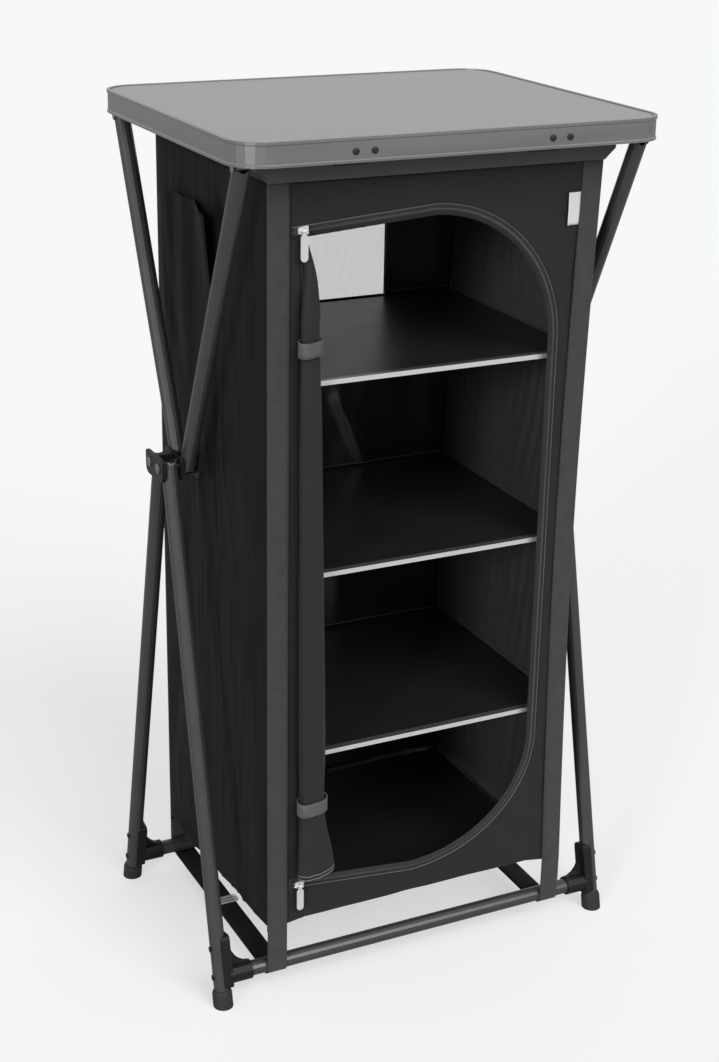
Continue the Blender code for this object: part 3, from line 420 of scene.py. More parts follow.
def barMesh(name, length, width, height, axis):
    # a short rounded bar, along X or Z, flat side to the cloth
    rings = [(-0.5, 0.35), (-0.36, 1.0), (0.36, 1.0), (0.5, 0.35)]
    sides = 6
    points, faces = [], []
    for along, size in rings:
        for k in range(sides):
            turn = 2 * pi * k / sides
            a, b = width / 2 * size * cos(turn), height / 2 * size * sin(turn)
            points.append((along * length, b, a) if axis == "X" else (b, a, along * length))
    for r in range(len(rings) - 1):
        for k in range(sides):
            n = (k + 1) % sides
            faces.append((r * sides + k, r * sides + n, (r + 1) * sides + n, (r + 1) * sides + k))
    faces += [tuple(range(sides)), tuple(range(len(points) - sides, len(points)))]
    mesh = bpy.data.meshes.new(name)
    mesh.from_pydata(points, [], faces)
    fixed = bmesh.new()
    fixed.from_mesh(mesh)
    bmesh.ops.recalc_face_normals(fixed, faces=fixed.faces)
    fixed.to_mesh(mesh)
    fixed.free()
    return bpy.data.objects.new(name, mesh)


def startTree(name, **sockets):
    # a tree that takes the lines as curves, and the named sockets
    tree = bpy.data.node_groups.new(name, "GeometryNodeTree")
    tree.interface.new_socket("Geometry", in_out="INPUT", socket_type="NodeSocketGeometry")
    for label, kind in sockets.items():
        tree.interface.new_socket(label, in_out="INPUT", socket_type=kind)
    tree.interface.new_socket("Geometry", in_out="OUTPUT", socket_type="NodeSocketGeometry")
    start = tree.nodes.new("NodeGroupInput")
    line = tree.nodes.new("GeometryNodeMeshToCurve")
    tree.links.new(start.outputs["Geometry"], line.inputs["Mesh"])
    return tree, start.outputs, line.outputs["Curve"]


def endTree(tree, made, finish):
    real = tree.nodes.new("GeometryNodeRealizeInstances")
    painted = tree.nodes.new("GeometryNodeSetMaterial")
    painted.inputs["Material"].default_value = finish
    end = tree.nodes.new("NodeGroupOutput")
    tree.links.new(made, real.inputs["Geometry"])
    tree.links.new(real.outputs["Geometry"], painted.inputs["Geometry"])
    tree.links.new(painted.outputs["Geometry"], end.inputs["Geometry"])
    return tree


def rowTree(name, axis, pivot, finish):
    # the item repeated along the lines, turned with them
    tree, given, curve = startTree(name, Item="NodeSocketObject", Pitch="NodeSocketFloat")
    spaced = tree.nodes.new("GeometryNodeResampleCurve")
    spaced.mode = "LENGTH"
    direction = tree.nodes.new("GeometryNodeInputTangent")
    turned = tree.nodes.new("FunctionNodeAlignRotationToVector")
    turned.axis, turned.pivot_axis = axis, pivot
    item = tree.nodes.new("GeometryNodeObjectInfo")
    placed = tree.nodes.new("GeometryNodeInstanceOnPoints")
    link = tree.links.new
    link(curve, spaced.inputs["Curve"])
    link(given["Pitch"], spaced.inputs["Length"])
    link(spaced.outputs["Curve"], placed.inputs["Points"])
    link(given["Item"], item.inputs["Object"])
    link(item.outputs["Geometry"], placed.inputs["Instance"])
    link(direction.outputs["Tangent"], turned.inputs["Vector"])
    link(turned.outputs["Rotation"], placed.inputs["Rotation"])
    return endTree(tree, placed.outputs["Instances"], finish)


def cordTree(name, finish):
    # a round cord along the lines
    tree, given, curve = startTree(name, Radius="NodeSocketFloat", Sides="NodeSocketInt")
    ring = tree.nodes.new("GeometryNodeCurvePrimitiveCircle")
    tube = tree.nodes.new("GeometryNodeCurveToMesh")
    tube.inputs["Fill Caps"].default_value = True
    link = tree.links.new
    link(curve, tube.inputs["Curve"])
    link(given["Radius"], ring.inputs["Radius"])
    link(given["Sides"], ring.inputs["Resolution"])
    link(ring.outputs["Curve"], tube.inputs["Profile Curve"])
    return endTree(tree, tube.outputs["Mesh"], finish)


def lineMesh(name, lines):
    points, edges = [], []
    for line in lines:
        first = len(points)
        points += [tuple(p) for p in line]
        edges += [(first + k, first + k + 1) for k in range(len(line) - 1)]
    mesh = bpy.data.meshes.new(name)
    mesh.from_pydata(points, edges, [])
    return mesh


def bakeNodes(name, lines, tree, inputs, finish, **rest):
    # runs a node tree on the lines and keeps the plain mesh it gives
    carrier = bpy.data.objects.new(name + "Lines", lineMesh(name, lines))
    bpy.context.scene.collection.objects.link(carrier)
    maker = carrier.modifiers.new("maker", "NODES")
    maker.node_group = tree
    for socket in tree.interface.items_tree:
        if socket.in_out == "INPUT" and socket.name in inputs:
            maker[socket.identifier] = inputs[socket.name]
    depsgraph = bpy.context.evaluated_depsgraph_get()
    made = bpy.data.meshes.new_from_object(carrier.evaluated_get(depsgraph))
    made.name = name
    bpy.data.objects.remove(carrier)
    return newPiece(name, made, finish, **rest)


sharpAngle = radians(50)
stitchSizes = {"long": 3.0 * mm, "wide": 0.8 * mm, "high": 0.5 * mm, "pitch": 4.2 * mm}


def rowAlong(name, lines, item, pitch, axis, pivot, finish, **rest):
    bpy.context.scene.collection.objects.link(item)
    item.hide_render = True
    tree = rowTree(name + "Row", axis, pivot, finish)
    piece = bakeNodes(name, lines, tree, {"Item": item, "Pitch": pitch}, finish, **rest)
    bpy.data.objects.remove(item)
    piece.data.set_sharp_from_angle(angle=sharpAngle)
    return settle(piece)


def stitchAlong(name, lines, axis, pivot, finish, **rest):
    stitch = barMesh("stitch", stitchSizes["long"], stitchSizes["wide"], stitchSizes["high"], axis)
    if axis == "Z":
        stitch.data.transform(Matrix.Rotation(radians(90), 4, "Z"))
    return rowAlong(name, lines, stitch, stitchSizes["pitch"], axis, pivot, finish, **rest)


def cordAlong(name, lines, radius, sides, finish, keep=crumple["cloth"], **rest):
    tree = cordTree(name + "Cord", finish)
    return settle(bakeNodes(name, lines, tree, {"Radius": radius, "Sides": sides}, finish, **rest))


# the doorway, its zip and the front panel
doorway = {
    "left": -165 * mm, "right": 150 * mm, "topLeft": 934 * mm, "top": 946.5 * mm,
    "topBend": -8 * mm, "upperRadius": 160 * mm, "bottomLeft": 150 * mm, "bottom": 134 * mm,
    "bottomBend": -16 * mm, "lowerRadius": 148 * mm,
}
hems = {"front": 96 * mm, "rear": 79 * mm, "dip": 8 * mm, "bow": 9 * mm, "strap": 25 * mm}


def doorLine(offset=0.0, tail=0.0, steps=30):
    d = doorway
    upper = arcOf((d["topBend"], d["top"] - d["upperRadius"]),
                  (d["right"] - d["topBend"] + offset, d["upperRadius"] + offset), pi / 2, 0, steps)
    lower = arcOf((d["bottomBend"], d["bottom"] + d["lowerRadius"]),
                  (d["right"] - d["bottomBend"] + offset, d["lowerRadius"] + offset), 0, -pi / 2, steps)
    first = (d["left"] - tail, d["topLeft"] + offset)
    last = (d["left"] - tail, d["bottomLeft"] - offset)
    return [first] + upper + lower + [last]


bowSteps = 30


def bowOf(z):
    share = unit((z - hems["front"]) / (fabricTop - hems["front"]))
    return hems["bow"] * sin(pi * share)


def hemAt(y):
    return hems["front"] + (hems["rear"] - hems["front"]) * (y + panelBack) / (2 * panelBack)


def panelOutline(hem):
    inset = 2 * hems["strap"]
    low = hem - hems["dip"]
    left = [(-cabinetHalf, fabricTop), (-cabinetHalf, low)]
    dips = [(-cabinetHalf + inset, hem), (cabinetHalf - inset, hem)]
    return left + dips + [(cabinetHalf - bowOf(z), z) for z in evenly(low, fabricTop, bowSteps)]


def densePath(points, step):
    made = [points[0]]
    for a, b in zip(points, points[1:]):
        count = max(1, round(hypot(b[0] - a[0], b[1] - a[1]) / step))
        made += list(zip(evenly(a[0], b[0], count), evenly(a[1], b[1], count)))[1:]
    return made


def nearLoop(line):
    # finds how far a place lies from a closed line
    points = densePath(line + line[:1], 4 * mm)
    tree = kdtree.KDTree(len(points))
    for k, (u, v) in enumerate(points):
        tree.insert((u, 0, v), k)
    tree.balance()
    return lambda x, z: tree.find((x, 0, z))[2]


frontFolds = {"depth": 2.2 * mm, "width": 46 * mm, "height": 210 * mm, "slant": 0.25, "calm": 26 * mm,
              "edge": 20 * mm, "low": 70 * mm, "mean": 0.55, "fold": 0.8, "crease": 0.35,
              "creaseWide": 30 * mm, "creaseLong": 120 * mm, "cell": 9 * mm}
fromDoor = nearLoop(doorLine(4 * mm))


def frontPlace(x, z):
    f = frontFolds
    nearEdge = min(x + cabinetHalf, cabinetHalf - bowOf(z) - x, fabricTop - z, z - f["low"])
    free = unit(fromDoor(x, z) / f["calm"]) * unit(nearEdge / f["edge"])
    fold = ripple(x / f["width"] + f["slant"] * z / f["width"], z / f["height"], 3.1)
    crease = ripple((x + z) / f["creaseWide"], (x - z) / f["creaseLong"], 8.4)
    inward = f["depth"] * free * (f["mean"] + f["fold"] * fold + f["crease"] * crease)
    return (x, -panelFace + max(0, inward), z)


cloth, frontArea = cutCloth(panelOutline(hems["front"]), [doorLine()], frontFolds["cell"])
frontCloth = hangCloth("frontPanelCloth", cloth, frontPlace, (0, -1, 0), panelCloth)
finishSheet(frontCloth, thick["cloth"], "front_panel")
say("front panel")

zipSizes = {"tapeIn": -5.0 * mm, "tapeOut": 7.9 * mm, "tapeThick": 0.8 * mm, "tapeSunk": 1.0 * mm,
            "tail": 12 * mm, "coilAt": 1.6 * mm, "coilWidth": 3.0 * mm, "coilHeight": 1.5 * mm,
            "coilTooth": 1.1 * mm, "coilPitch": 1.7 * mm, "coilProud": 0.35 * mm, "pipingAt": 7.0 * mm,
            "pipingRadius": 0.85 * mm, "pipingProud": 0.1 * mm, "steps": 60}
tapeBase = tapeFace - zipSizes["tapeSunk"]


def ribbonBetween(name, inner, outer, y, finish, **rest):
    rows = [[(x, y, z) for x, z in inner], [(x, y, z) for x, z in outer]]
    return turnOutward(gridPiece(name, rows, finish, **rest), (0, -1, 0))


def zipPath(at, proud):
    line = doorLine(at, zipSizes["tail"], zipSizes["steps"])
    return [(x, -tapeBase - proud, z) for x, z in line]


tape = ribbonBetween("zipTape", doorLine(zipSizes["tapeIn"], zipSizes["tail"]),
                     doorLine(zipSizes["tapeOut"], zipSizes["tail"]), -tapeBase, zipTape, slot="zip_tape")
finishSheet(tape, zipSizes["tapeThick"], "door_zip")
tooth = barMesh("tooth", zipSizes["coilWidth"], zipSizes["coilTooth"], zipSizes["coilHeight"], "X")
tooth.data.transform(Matrix.Rotation(radians(90), 4, "Y"))
rowAlong("zipCoil", [zipPath(zipSizes["coilAt"], zipSizes["coilProud"])], tooth, zipSizes["coilPitch"],
         "X", "Y", zipCoil, slot="zip_tape")
cordAlong("zipPiping", [zipPath(zipSizes["pipingAt"], zipSizes["pipingProud"])],
          zipSizes["pipingRadius"], 8, zipCoil, slot="zip_tape")
say("zip")

# rear panel with its net window
rearWindow = {"half": 100 * mm, "sill": shelfTops[0] + 1 * mm, "top": 965 * mm, "corner": 30 * mm,
              "binding": 9 * mm, "netPitch": 1.25 * mm, "netThread": 0.15 * mm, "netOver": 2 * mm,
              "uprightsIn": 0.4 * mm, "crossIn": 0.2 * mm}
rearFolds = {"depth": 3.0 * mm, "width": 52 * mm, "height": 170 * mm, "smallWidth": 25 * mm,
             "smallHeight": 60 * mm, "small": 0.4, "mean": 0.4, "fold": 0.9, "atShelf": 0.35,
             "nearWindow": 24 * mm, "nearEdge": 22 * mm, "nearStrap": 12 * mm, "strapGap": 4 * mm,
             "inMost": 1.0 * mm, "cell": 6 * mm}
rearCrease = {"from": (38 * mm, 634 * mm), "to": (76 * mm, 547 * mm), "wide": 8 * mm, "depth": 4 * mm}


def windowLine(grow=0.0):
    w = rearWindow["half"] + grow
    c = rearWindow["corner"] + grow
    low, high = rearWindow["sill"] - grow, rearWindow["top"] + grow
    corners = arcOf((w - c, high - c), (c, c), 0, pi / 2, 8) + arcOf((c - w, high - c), (c, c), pi / 2, pi, 8)
    return [(-w, low), (w, low)] + corners


fromWindow = nearLoop(windowLine())


def shelfShare(z):
    # 0 at a shelf, 1 midway between two
    levels = sorted([hems["rear"], *shelfTops, fabricTop])
    for low, high in zip(levels, levels[1:]):
        if z <= high:
            return sin(pi * unit((z - low) / (high - low)))
    return 0


def creaseIn(x, z):
    # one fold that hangs slantwise in the second compartment
    (ax, az), (bx, bz) = rearCrease["from"], rearCrease["to"]
    share = ((x - ax) * (bx - ax) + (z - az) * (bz - az)) / ((bx - ax) ** 2 + (bz - az) ** 2)
    held = unit(share)
    off = hypot(x - ax - held * (bx - ax), z - az - held * (bz - az))
    return rearCrease["depth"] * max(0, 1 - off / rearCrease["wide"] / 2) ** 2


def rearPlace(x, z):
    f = rearFolds
    free = min(1, fromWindow(x, z) / f["nearWindow"])
    free *= unit(min(x + cabinetHalf, cabinetHalf - bowOf(z) - x) / f["nearEdge"])
    fold = ripple(x / f["width"], z / f["height"], 5.7)
    fold += f["small"] * ripple(x / f["smallWidth"], z / f["smallHeight"], 2.2)
    between = f["atShelf"] + (1 - f["atShelf"]) * shelfShare(z)
    out = f["depth"] * free * (f["mean"] + f["fold"] * fold) * between
    # flat behind the corner straps, which lie close on it
    clear = unit((cabinetHalf - bowOf(z) - hems["strap"] - f["strapGap"] - abs(x)) / f["nearStrap"])
    return (x, panelFace + max(-f["inMost"], out * clear) - creaseIn(x, z), z)


cloth, rearArea = cutCloth(panelOutline(hems["rear"]), [windowLine()], rearFolds["cell"])
rearCloth = hangCloth("rearPanelCloth", cloth, rearPlace, (0, 1, 0), clothWithPaintedShade)
finishSheet(rearCloth, thick["cloth"], "rear_panel", coat=rearCoat)
innerEdge, outerEdge = windowLine(), windowLine(rearWindow["binding"])
binding = ribbonBetween("windowBinding", innerEdge + innerEdge[:1], outerEdge + outerEdge[:1],
                        panelFace + 1.3 * mm, webbingWithPaintedShade)
turnOutward(binding, (0, 1, 0))
finishSheet(binding, thick["binding"])


def netLines():
    n, c = rearWindow, rearWindow["corner"]
    w, low, high = n["half"] + n["netOver"], n["sill"] - n["netOver"], n["top"] + n["netOver"]

    def cornerReach(beyond):
        # how far the rounded corner still lets a thread run
        return sqrt(max(0, c * c - max(0, beyond) ** 2))

    lines = []
    y = panelFace - n["uprightsIn"]
    for x in evenly(-w, w, int(2 * w / n["netPitch"])):
        lines.append([(x, y, low), (x, y, high - c + cornerReach(abs(x) - (w - c)))])
    y = panelFace - n["crossIn"]
    for z in evenly(low, high, int((high - low) / n["netPitch"])):
        reach = w - c + cornerReach(z - (high - c))
        lines.append([(-reach, y, z), (reach, y, z)])
    return lines


cordAlong("windowNet", netLines(), rearWindow["netThread"], 4, netThread)
say("rear panel and its net")

# side walls; the left one has a slack pocket at the top
wallFolds = {"depth": 7.5 * mm, "width": 78 * mm, "height": 300 * mm, "inner": 203.4 * mm, "cell": 4.5 * mm,
             "mean": 0.4, "long": 0.85, "small": 0.16, "ridge": 0.26, "drift": 0.4, "driftHeight": 200 * mm,
             "smallWidth": 26 * mm, "smallHeight": 120 * mm, "ridgeWidth": 21 * mm, "ridgeSharp": 4.5,
             "leanWidth": 90 * mm, "leanHeight": 170 * mm, "lean": 0.9, "atShelf": 0.3, "endGap": 1.25 * mm}
wallFace = wallFolds["inner"] + thick["cloth"]
wallSeeds = {"left": 1.7, "right": 6.2}
wallDent = {"y": -34 * mm, "z": 900 * mm, "wide": 17 * mm, "tall": 36 * mm, "depth": 17 * mm}
gathers = {"from": -110 * mm, "to": 4 * mm, "pitch": 22 * mm, "depth": 5 * mm, "lean": 0.16,
           "wander": 5 * mm, "rise": 60 * mm}


def wallOut(y, z, side):
    f, seed = wallFolds, wallSeeds[side]
    edge = 1 - abs(y / panelBack) ** 6
    drift = f["drift"] * ripple(0, z / f["driftHeight"], seed + 4)
    long = ripple(y / f["width"] + drift, z / f["height"], seed)
    small = ripple(y / f["smallWidth"], z / f["smallHeight"], seed + 1.3)
    # narrow upright ridges where the cloth is gathered, strongest between two shelves
    lean = y / f["ridgeWidth"] + f["lean"] * ripple(y / f["leanWidth"], z / f["leanHeight"], seed + 2.6)
    ridge = max(0, 1 - f["ridgeSharp"] * abs(ripple(lean, z / f["height"], seed + 7.9)))
    fold = f["depth"] * (f["mean"] + f["long"] * long + f["small"] * small + f["ridge"] * ridge * ridge)
    return max(0, fold) * edge * (f["atShelf"] + (1 - f["atShelf"]) * shelfShare(z))


def leftPlace(y, z):
    # the wall sags inward behind the pocket's open front corner
    d = wallDent
    dent = d["depth"] * exp(-((y - d["y"]) / d["wide"]) ** 2 - ((z - d["z"]) / d["tall"]) ** 2)
    return (-(wallFace + wallOut(y, z, "left") - dent), y, z)


def gatherOut(y, z):
    # folds that the doorway's edge pulls into the right wall, leaning back towards their foot
    g = gathers
    at = (y - g["from"]) / (g["to"] - g["from"])
    if not 0 < at < 1:
        return 0
    swing = y + g["lean"] * z + g["wander"] * ripple(y / (40 * mm), z / (70 * mm), 3.6)
    crest = (0.5 + 0.5 * sin(2 * pi * swing / g["pitch"])) ** 2
    strength = 0.65 + 0.7 * ripple(y / (23 * mm), z / (60 * mm), 7.7)
    # none at the floor board, or light shows past its end
    rise = unit((z - shelfTops[-1]) / g["rise"])
    return g["depth"] * (1 - crest) * sin(pi * at) * shelfShare(z) * strength * rise


def rightPlace(y, z):
    return (wallFace - bowOf(z) + wallOut(y, z, "right") + gatherOut(y, z), y, z)


def wallOutline(lower):
    end = panelFace - wallFolds["endGap"]
    return [(-end, fabricTop), (-end, hemAt(-end) - lower), (end, hemAt(end) - lower), (end, fabricTop)]


# the right wall's hem keeps the solid's height, or the floor shows past the floor board's end
for side, placeOf, away, lower in (("left", leftPlace, (-1, 0, 0), 0),
                                   ("right", rightPlace, (1, 0, 0), 9 * mm)):
    cloth, wallArea = cutCloth(wallOutline(lower), [], wallFolds["cell"])
    wall = hangCloth(side + "WallCloth", cloth, placeOf, away, clothWithPaintedShade)
    finishSheet(wall, thick["cloth"], side + "_wall", coat=innerCoatPaintedLighter)

pocketCut = {"front": -26 * mm, "rear": 157 * mm, "mouth": 937 * mm, "foot": 430 * mm,
             "slack": 10 * mm, "gape": 9 * mm, "rearDrop": 20 * mm, "frontDrop": 6 * mm,
             "sink": 0.9 * mm, "rows": 70, "across": 48}
# shares of the pocket's width (along) and of its height (down)
pocketShape = {"rearDropFrom": 0.55, "frontDropTo": 0.25, "rearClosed": 0.16, "gapeAlong": 0.3,
               "gapeDown": 0.2, "footFrom": 0.62, "footRun": 0.34, "frontEdge": 0.09, "frontFrom": 0.14,
               "frontRun": 0.2, "rearEdge": 0.07, "rearFrom": 0.03, "rearRun": 0.1}


def pocketHeld(along, down):
    # 1 where the foot and the upright edges are sewn to the wall
    s = pocketShape
    foot = smooth((down - s["footFrom"]) / s["footRun"])
    front = smooth(1 - along / s["frontEdge"]) * smooth((down - s["frontFrom"]) / s["frontRun"])
    rear = smooth((along - (1 - s["rearEdge"])) / s["rearEdge"])
    rear *= smooth((down - s["rearFrom"]) / s["rearRun"])
    return max(foot, front, rear)


def pocketPoint(along, down):
    p, s = pocketCut, pocketShape
    y = p["front"] + (p["rear"] - p["front"]) * along
    droop = p["rearDrop"] * max(0, (along - s["rearDropFrom"]) / (1 - s["rearDropFrom"])) ** 1.6
    mouth = p["mouth"] - (droop + p["frontDrop"] * max(0, 1 - along / s["frontDropTo"]))
    z = mouth + (p["foot"] - mouth) * down
    openness = (1 - down) ** 1.5 * min(1, (1 - along) / s["rearClosed"])
    waves = 0.6 + 0.55 * ripple(y / (30 * mm), z / (230 * mm), 9.3) + 0.22 * sin(pi * along * 5 + 2.4 * down)
    held = pocketHeld(along, down)
    gape = p["gape"] * max(0, 1 - along / s["gapeAlong"]) * max(0, 1 - down / s["gapeDown"])
    proud = (thick["cloth"] + p["slack"] * openness * max(0.08, waves) + gape) * (1 - held) - p["sink"] * held
    return (-(wallFace + wallOut(y, z, "left") * (0.4 + 0.6 * max(held, down)) + proud), y, z)


pocketRows = [[pocketPoint(along, down) for along in evenly(0, 1, pocketCut["across"] - 1)]
              for down in evenly(0, 1, pocketCut["rows"] - 1)]
pocket = turnOutward(gridPiece("sidePocket", pocketRows, clothWithPaintedShade), (-1, 0, 0))
finishSheet(pocket, thick["light"])
say("side walls and pocket")

# corner straps, base bands and the buckle
webSizes = {"thick": 1.5 * mm, "inset": 12.5 * mm, "band": 28 * mm, "bandAt": 190 * mm, "edge": 2.4 * mm,
            "across": 6, "seamTop": 4 * mm, "seamFoot": 88 * mm, "seamProud": 0.05 * mm, "ringGap": 0.3 * mm}


def webbingPiece(name, path, width, middle, finish, **rest):
    # path runs in the YZ plane; the web's middle line may wander in X
    rows = [[(x, y, z) for x in evenly(middle(z) - width / 2, middle(z) + width / 2, webSizes["across"])]
            for y, z in path]
    return gridPiece(name, rows, finish, **rest)


def strapPath(direction):
    ring = tubeRadius + webSizes["ringGap"] + webSizes["thick"] / 2
    middle = strapFace - webSizes["thick"] / 2
    drop = [(middle, z) for z in evenly(fabricTop, railZ, 70)[:-1]]
    wrap = arcOf((railY, railZ), (ring, ring), 0, -pi / 2, 12)
    return [(direction * y, z) for y, z in drop + wrap]


strapMiddle = cabinetHalf - webSizes["inset"]
strapMiddles = {"left": lambda z: -strapMiddle, "right": lambda z: strapMiddle - bowOf(z)}
seamHeights = evenly(fabricTop - webSizes["seamTop"], webSizes["seamFoot"], 60)
seamReach = hems["strap"] / 2 - webSizes["edge"]
for end, direction in (("front", -1), ("rear", 1)):
    for side, middle in strapMiddles.items():
        webName = end + side.capitalize() + "Strap"
        strap = webbingPiece(webName, strapPath(direction), hems["strap"], middle, strapWeb, slot="strap_web")
        turnOutward(strap, (0, direction, 0))
        finishSheet(strap, webSizes["thick"], "corner_strap_" + end + "_" + side, offset=0.0)
        y = direction * (strapFace + webSizes["seamProud"])
        seams = [[(middle(z) + off, y, z) for z in seamHeights] for off in (-seamReach, seamReach)]
        stitchAlong(webName + "Stitches", seams, "Z", "X", strapThread, slot="strap_web")

for side, sign in (("left", -1), ("right", 1)):
    path = [(y, bandLow.z + 0.8 * mm) for y in evenly(bandLow.y, -bandLow.y, 30)]
    band = webbingPiece(side + "BaseBand", path, webSizes["band"], lambda z: sign * webSizes["bandAt"],
                        webbingWithPaintedShade, body="lower_front_frame", slot="strap_web")
    turnOutward(band, (0, 0, -1))
    finishSheet(band, webSizes["thick"], "base_band_" + side, offset=0.0)

buckle = {"y": 11 * mm, "half": 16.5 * mm, "run": 6 * mm, "wire": 1.6 * mm, "corner": 2.5 * mm}


def buckleLines():
    b, c = buckle, buckle["corner"]
    x, y, z = -webSizes["bandAt"], b["y"], bandLow.z + 1.6 * mm + b["wire"]
    corners = [(b["half"] - c, b["run"] - c), (c - b["half"], b["run"] - c),
               (c - b["half"], c - b["run"]), (b["half"] - c, c - b["run"])]
    ring = []
    for quarter, (cx, cy) in enumerate(corners):
        ring += arcOf((x + cx, y + cy), (c, c), pi / 2 * quarter, pi / 2 * (quarter + 1), 4)
    return [[(px, py, z) for px, py in ring + ring[:1]], [(x - b["half"], y, z), (x + b["half"], y, z)]]


cordAlong("bandBuckle", buckleLines(), buckle["wire"], 8, finishes["zinc"], body="lower_front_frame",
          slot="zinc")
say("straps, bands and buckle")

# the rolled door and its ties
roll = {"top": 925 * mm, "bottom": 160 * mm, "back": 157 * mm, "inset": 1.2 * mm, "topHalf": 3.4 * mm,
        "fullHalf": 13 * mm, "fullDrop": 75 * mm, "growth": 7.5 * mm, "flare": 5 * mm, "flareRun": 95 * mm,
        "deepShare": 0.62, "deepMore": 2.4 * mm, "overlap": 8 * mm, "overlapFrom": 26 * mm,
        "overlapRun": 60 * mm, "hemRise": 6 * mm, "hemRun": 60 * mm, "turns": 2.6, "layer": 1.8 * mm,
        "innerMost": (1.2 * mm, 1.0 * mm), "squeeze": 0.92, "squeezeRun": 45 * mm, "thick": 1.0 * mm,
        "around": 84, "rows": 90, "edgeRises": (1.2 * mm, 6 * mm), "edgeRadius": 0.8 * mm}
clearing = {"from": 14 * mm, "run": 24 * mm, "below": 20 * mm, "push": 8 * mm}
ties = {"heights": (811 * mm, 256 * mm), "width": 17 * mm, "thick": 1.3 * mm, "over": 1.6 * mm}


def rollSection(z):
    below = roll["top"] - z
    shift = roll["overlap"] * smooth((below - roll["overlapFrom"]) / roll["overlapRun"])
    left = doorway["left"] + roll["inset"] - shift
    half = roll["topHalf"] + (roll["fullHalf"] - roll["topHalf"]) * min(1, below / roll["fullDrop"])
    half += roll["growth"] * below / (roll["top"] - roll["bottom"])
    deep = roll["deepShare"] * half + roll["deepMore"]
    half += roll["flare"] * smooth((ties["heights"][1] - z) / roll["flareRun"])
    return left, half, deep


def rollSqueeze(z):
    beyond = min(abs(z - h) for h in ties["heights"]) - ties["width"] / 2
    return roll["squeeze"] + (1 - roll["squeeze"]) * unit(beyond / roll["squeezeRun"]) ** 2


def clearPanel(x, y, z):
    # the roll's left side lies on the panel, so it is pushed out in front of it
    leftward = smooth((doorway["left"] + clearing["from"] - x) / clearing["run"])
    return y - clearing["push"] * leftward * smooth((roll["top"] - z - clearing["below"]) / clearing["run"])


def rollRow(z):
    left, half, deep = rollSection(z)
    squeeze, count = rollSqueeze(z), roll["around"]
    middle, back = left + half, -roll["back"] - deep
    # two points where the door leaves the panel, then a spiral that tightens inward
    row = [(doorway["left"] - 2 * mm, -panelBack + 0.3 * mm, z),
           (doorway["left"] + 1.5 * mm, -panelFace + 0.2 * mm, z)]
    leastHalf, leastDeep = roll["innerMost"]
    for k in range(count + 1):
        turn = pi * 0.86 - 2 * pi * roll["turns"] * k / count
        shrink = roll["layer"] * roll["turns"] * k / count
        a, b = max(leastHalf, half * squeeze - shrink), max(leastDeep, deep * squeeze - 0.8 * shrink)
        fold = 1 + 0.05 * ripple(2 * cos(turn) + 3, 2 * sin(turn) + z / (90 * mm), 4.4)
        fold -= 0.05 * (1 + cos(5 * turn + 7 * z)) * (1 - k / count)
        x = middle + a * fold * cos(turn)
        y = clearPanel(x, back + b * fold * sin(turn), z)
        atHem = smooth((roll["bottom"] + roll["hemRun"] - z) / roll["hemRun"])
        row.append((x, y, z + roll["hemRise"] * max(0, (x - middle) / half) * atHem))
    return row


rollRows = [rollRow(z) for z in evenly(roll["top"], roll["bottom"], roll["rows"])]
doorRoll = gridPiece("rolledDoor", rollRows, rollClothPaintedLighter)
finishSheet(doorRoll, roll["thick"], "door_roll", offset=0.0, even=False)
# the zip's other half, on the outermost turn of the roll's foot
outerTurn = rollRows[-1][2:roll["around"] // 2 + 2]
edges = [[(x, y - 0.4 * mm, z + lift) for x, y, z in outerTurn] for lift in roll["edgeRises"]]
cordAlong("rolledZip", edges, roll["edgeRadius"], 6, rollEdge, keep=crumple["roll"], slot="zip_tape")
for label, node, height in (("tieUpper", "door_tie_upper", ties["heights"][0]),
                            ("tieLower", "door_tie_lower", ties["heights"][1])):
    left, half, deep = rollSection(height)
    a, b = half * roll["squeeze"] + ties["over"], deep * roll["squeeze"] + ties["over"]
    tieRows = []
    for x, y in arcOf((left + half, -roll["back"] - deep), (a, b), 0, 2 * pi, 48):
        y = clearPanel(x, y, height)
        tieRows.append([(x, y, height + ties["width"] * (s / 4 - 0.5)) for s in range(5)])
    tie = turnOutward(gridPiece(label, tieRows, tieWeb, slot="strap_web"), (0, 0, 0))
    finishSheet(tie, ties["thick"], node, offset=0.0)
say("rolled door and ties")

# seams, hems and the bare tag
seamSizes = {"hemRise": 14 * mm, "proud": 0.25 * mm, "step": 10 * mm, "topDrop": 9 * mm,
             "topProud": 0.2 * mm, "topInset": 26 * mm, "topSteps": 40}
seams = []
for hem, face, away in ((hems["front"], -panelFace, -1), (hems["rear"], panelFace, 1)):
    reach, z = cabinetHalf - 2 * hems["strap"], hem + seamSizes["hemRise"]
    seams.append([(x, face + away * seamSizes["proud"], z)
                  for x, z in densePath([(-reach, z), (reach, z)], seamSizes["step"])])
topReach = cabinetHalf - seamSizes["topInset"]
seams.append([(x, -panelFace - seamSizes["topProud"], fabricTop - seamSizes["topDrop"])
              for x in evenly(-topReach, topReach, seamSizes["topSteps"])])
stitchAlong("hemStitches", seams, "X", "Y", panelThread)

sleeve = {"rise": 4 * mm, "inward": 1.6 * mm, "radius": 0.9 * mm, "wallEnd": 4 * mm, "rearLeft": 3 * mm,
          "rearRight": 13 * mm, "windowGap": 12 * mm, "jump": 30 * mm, "steps": 60}


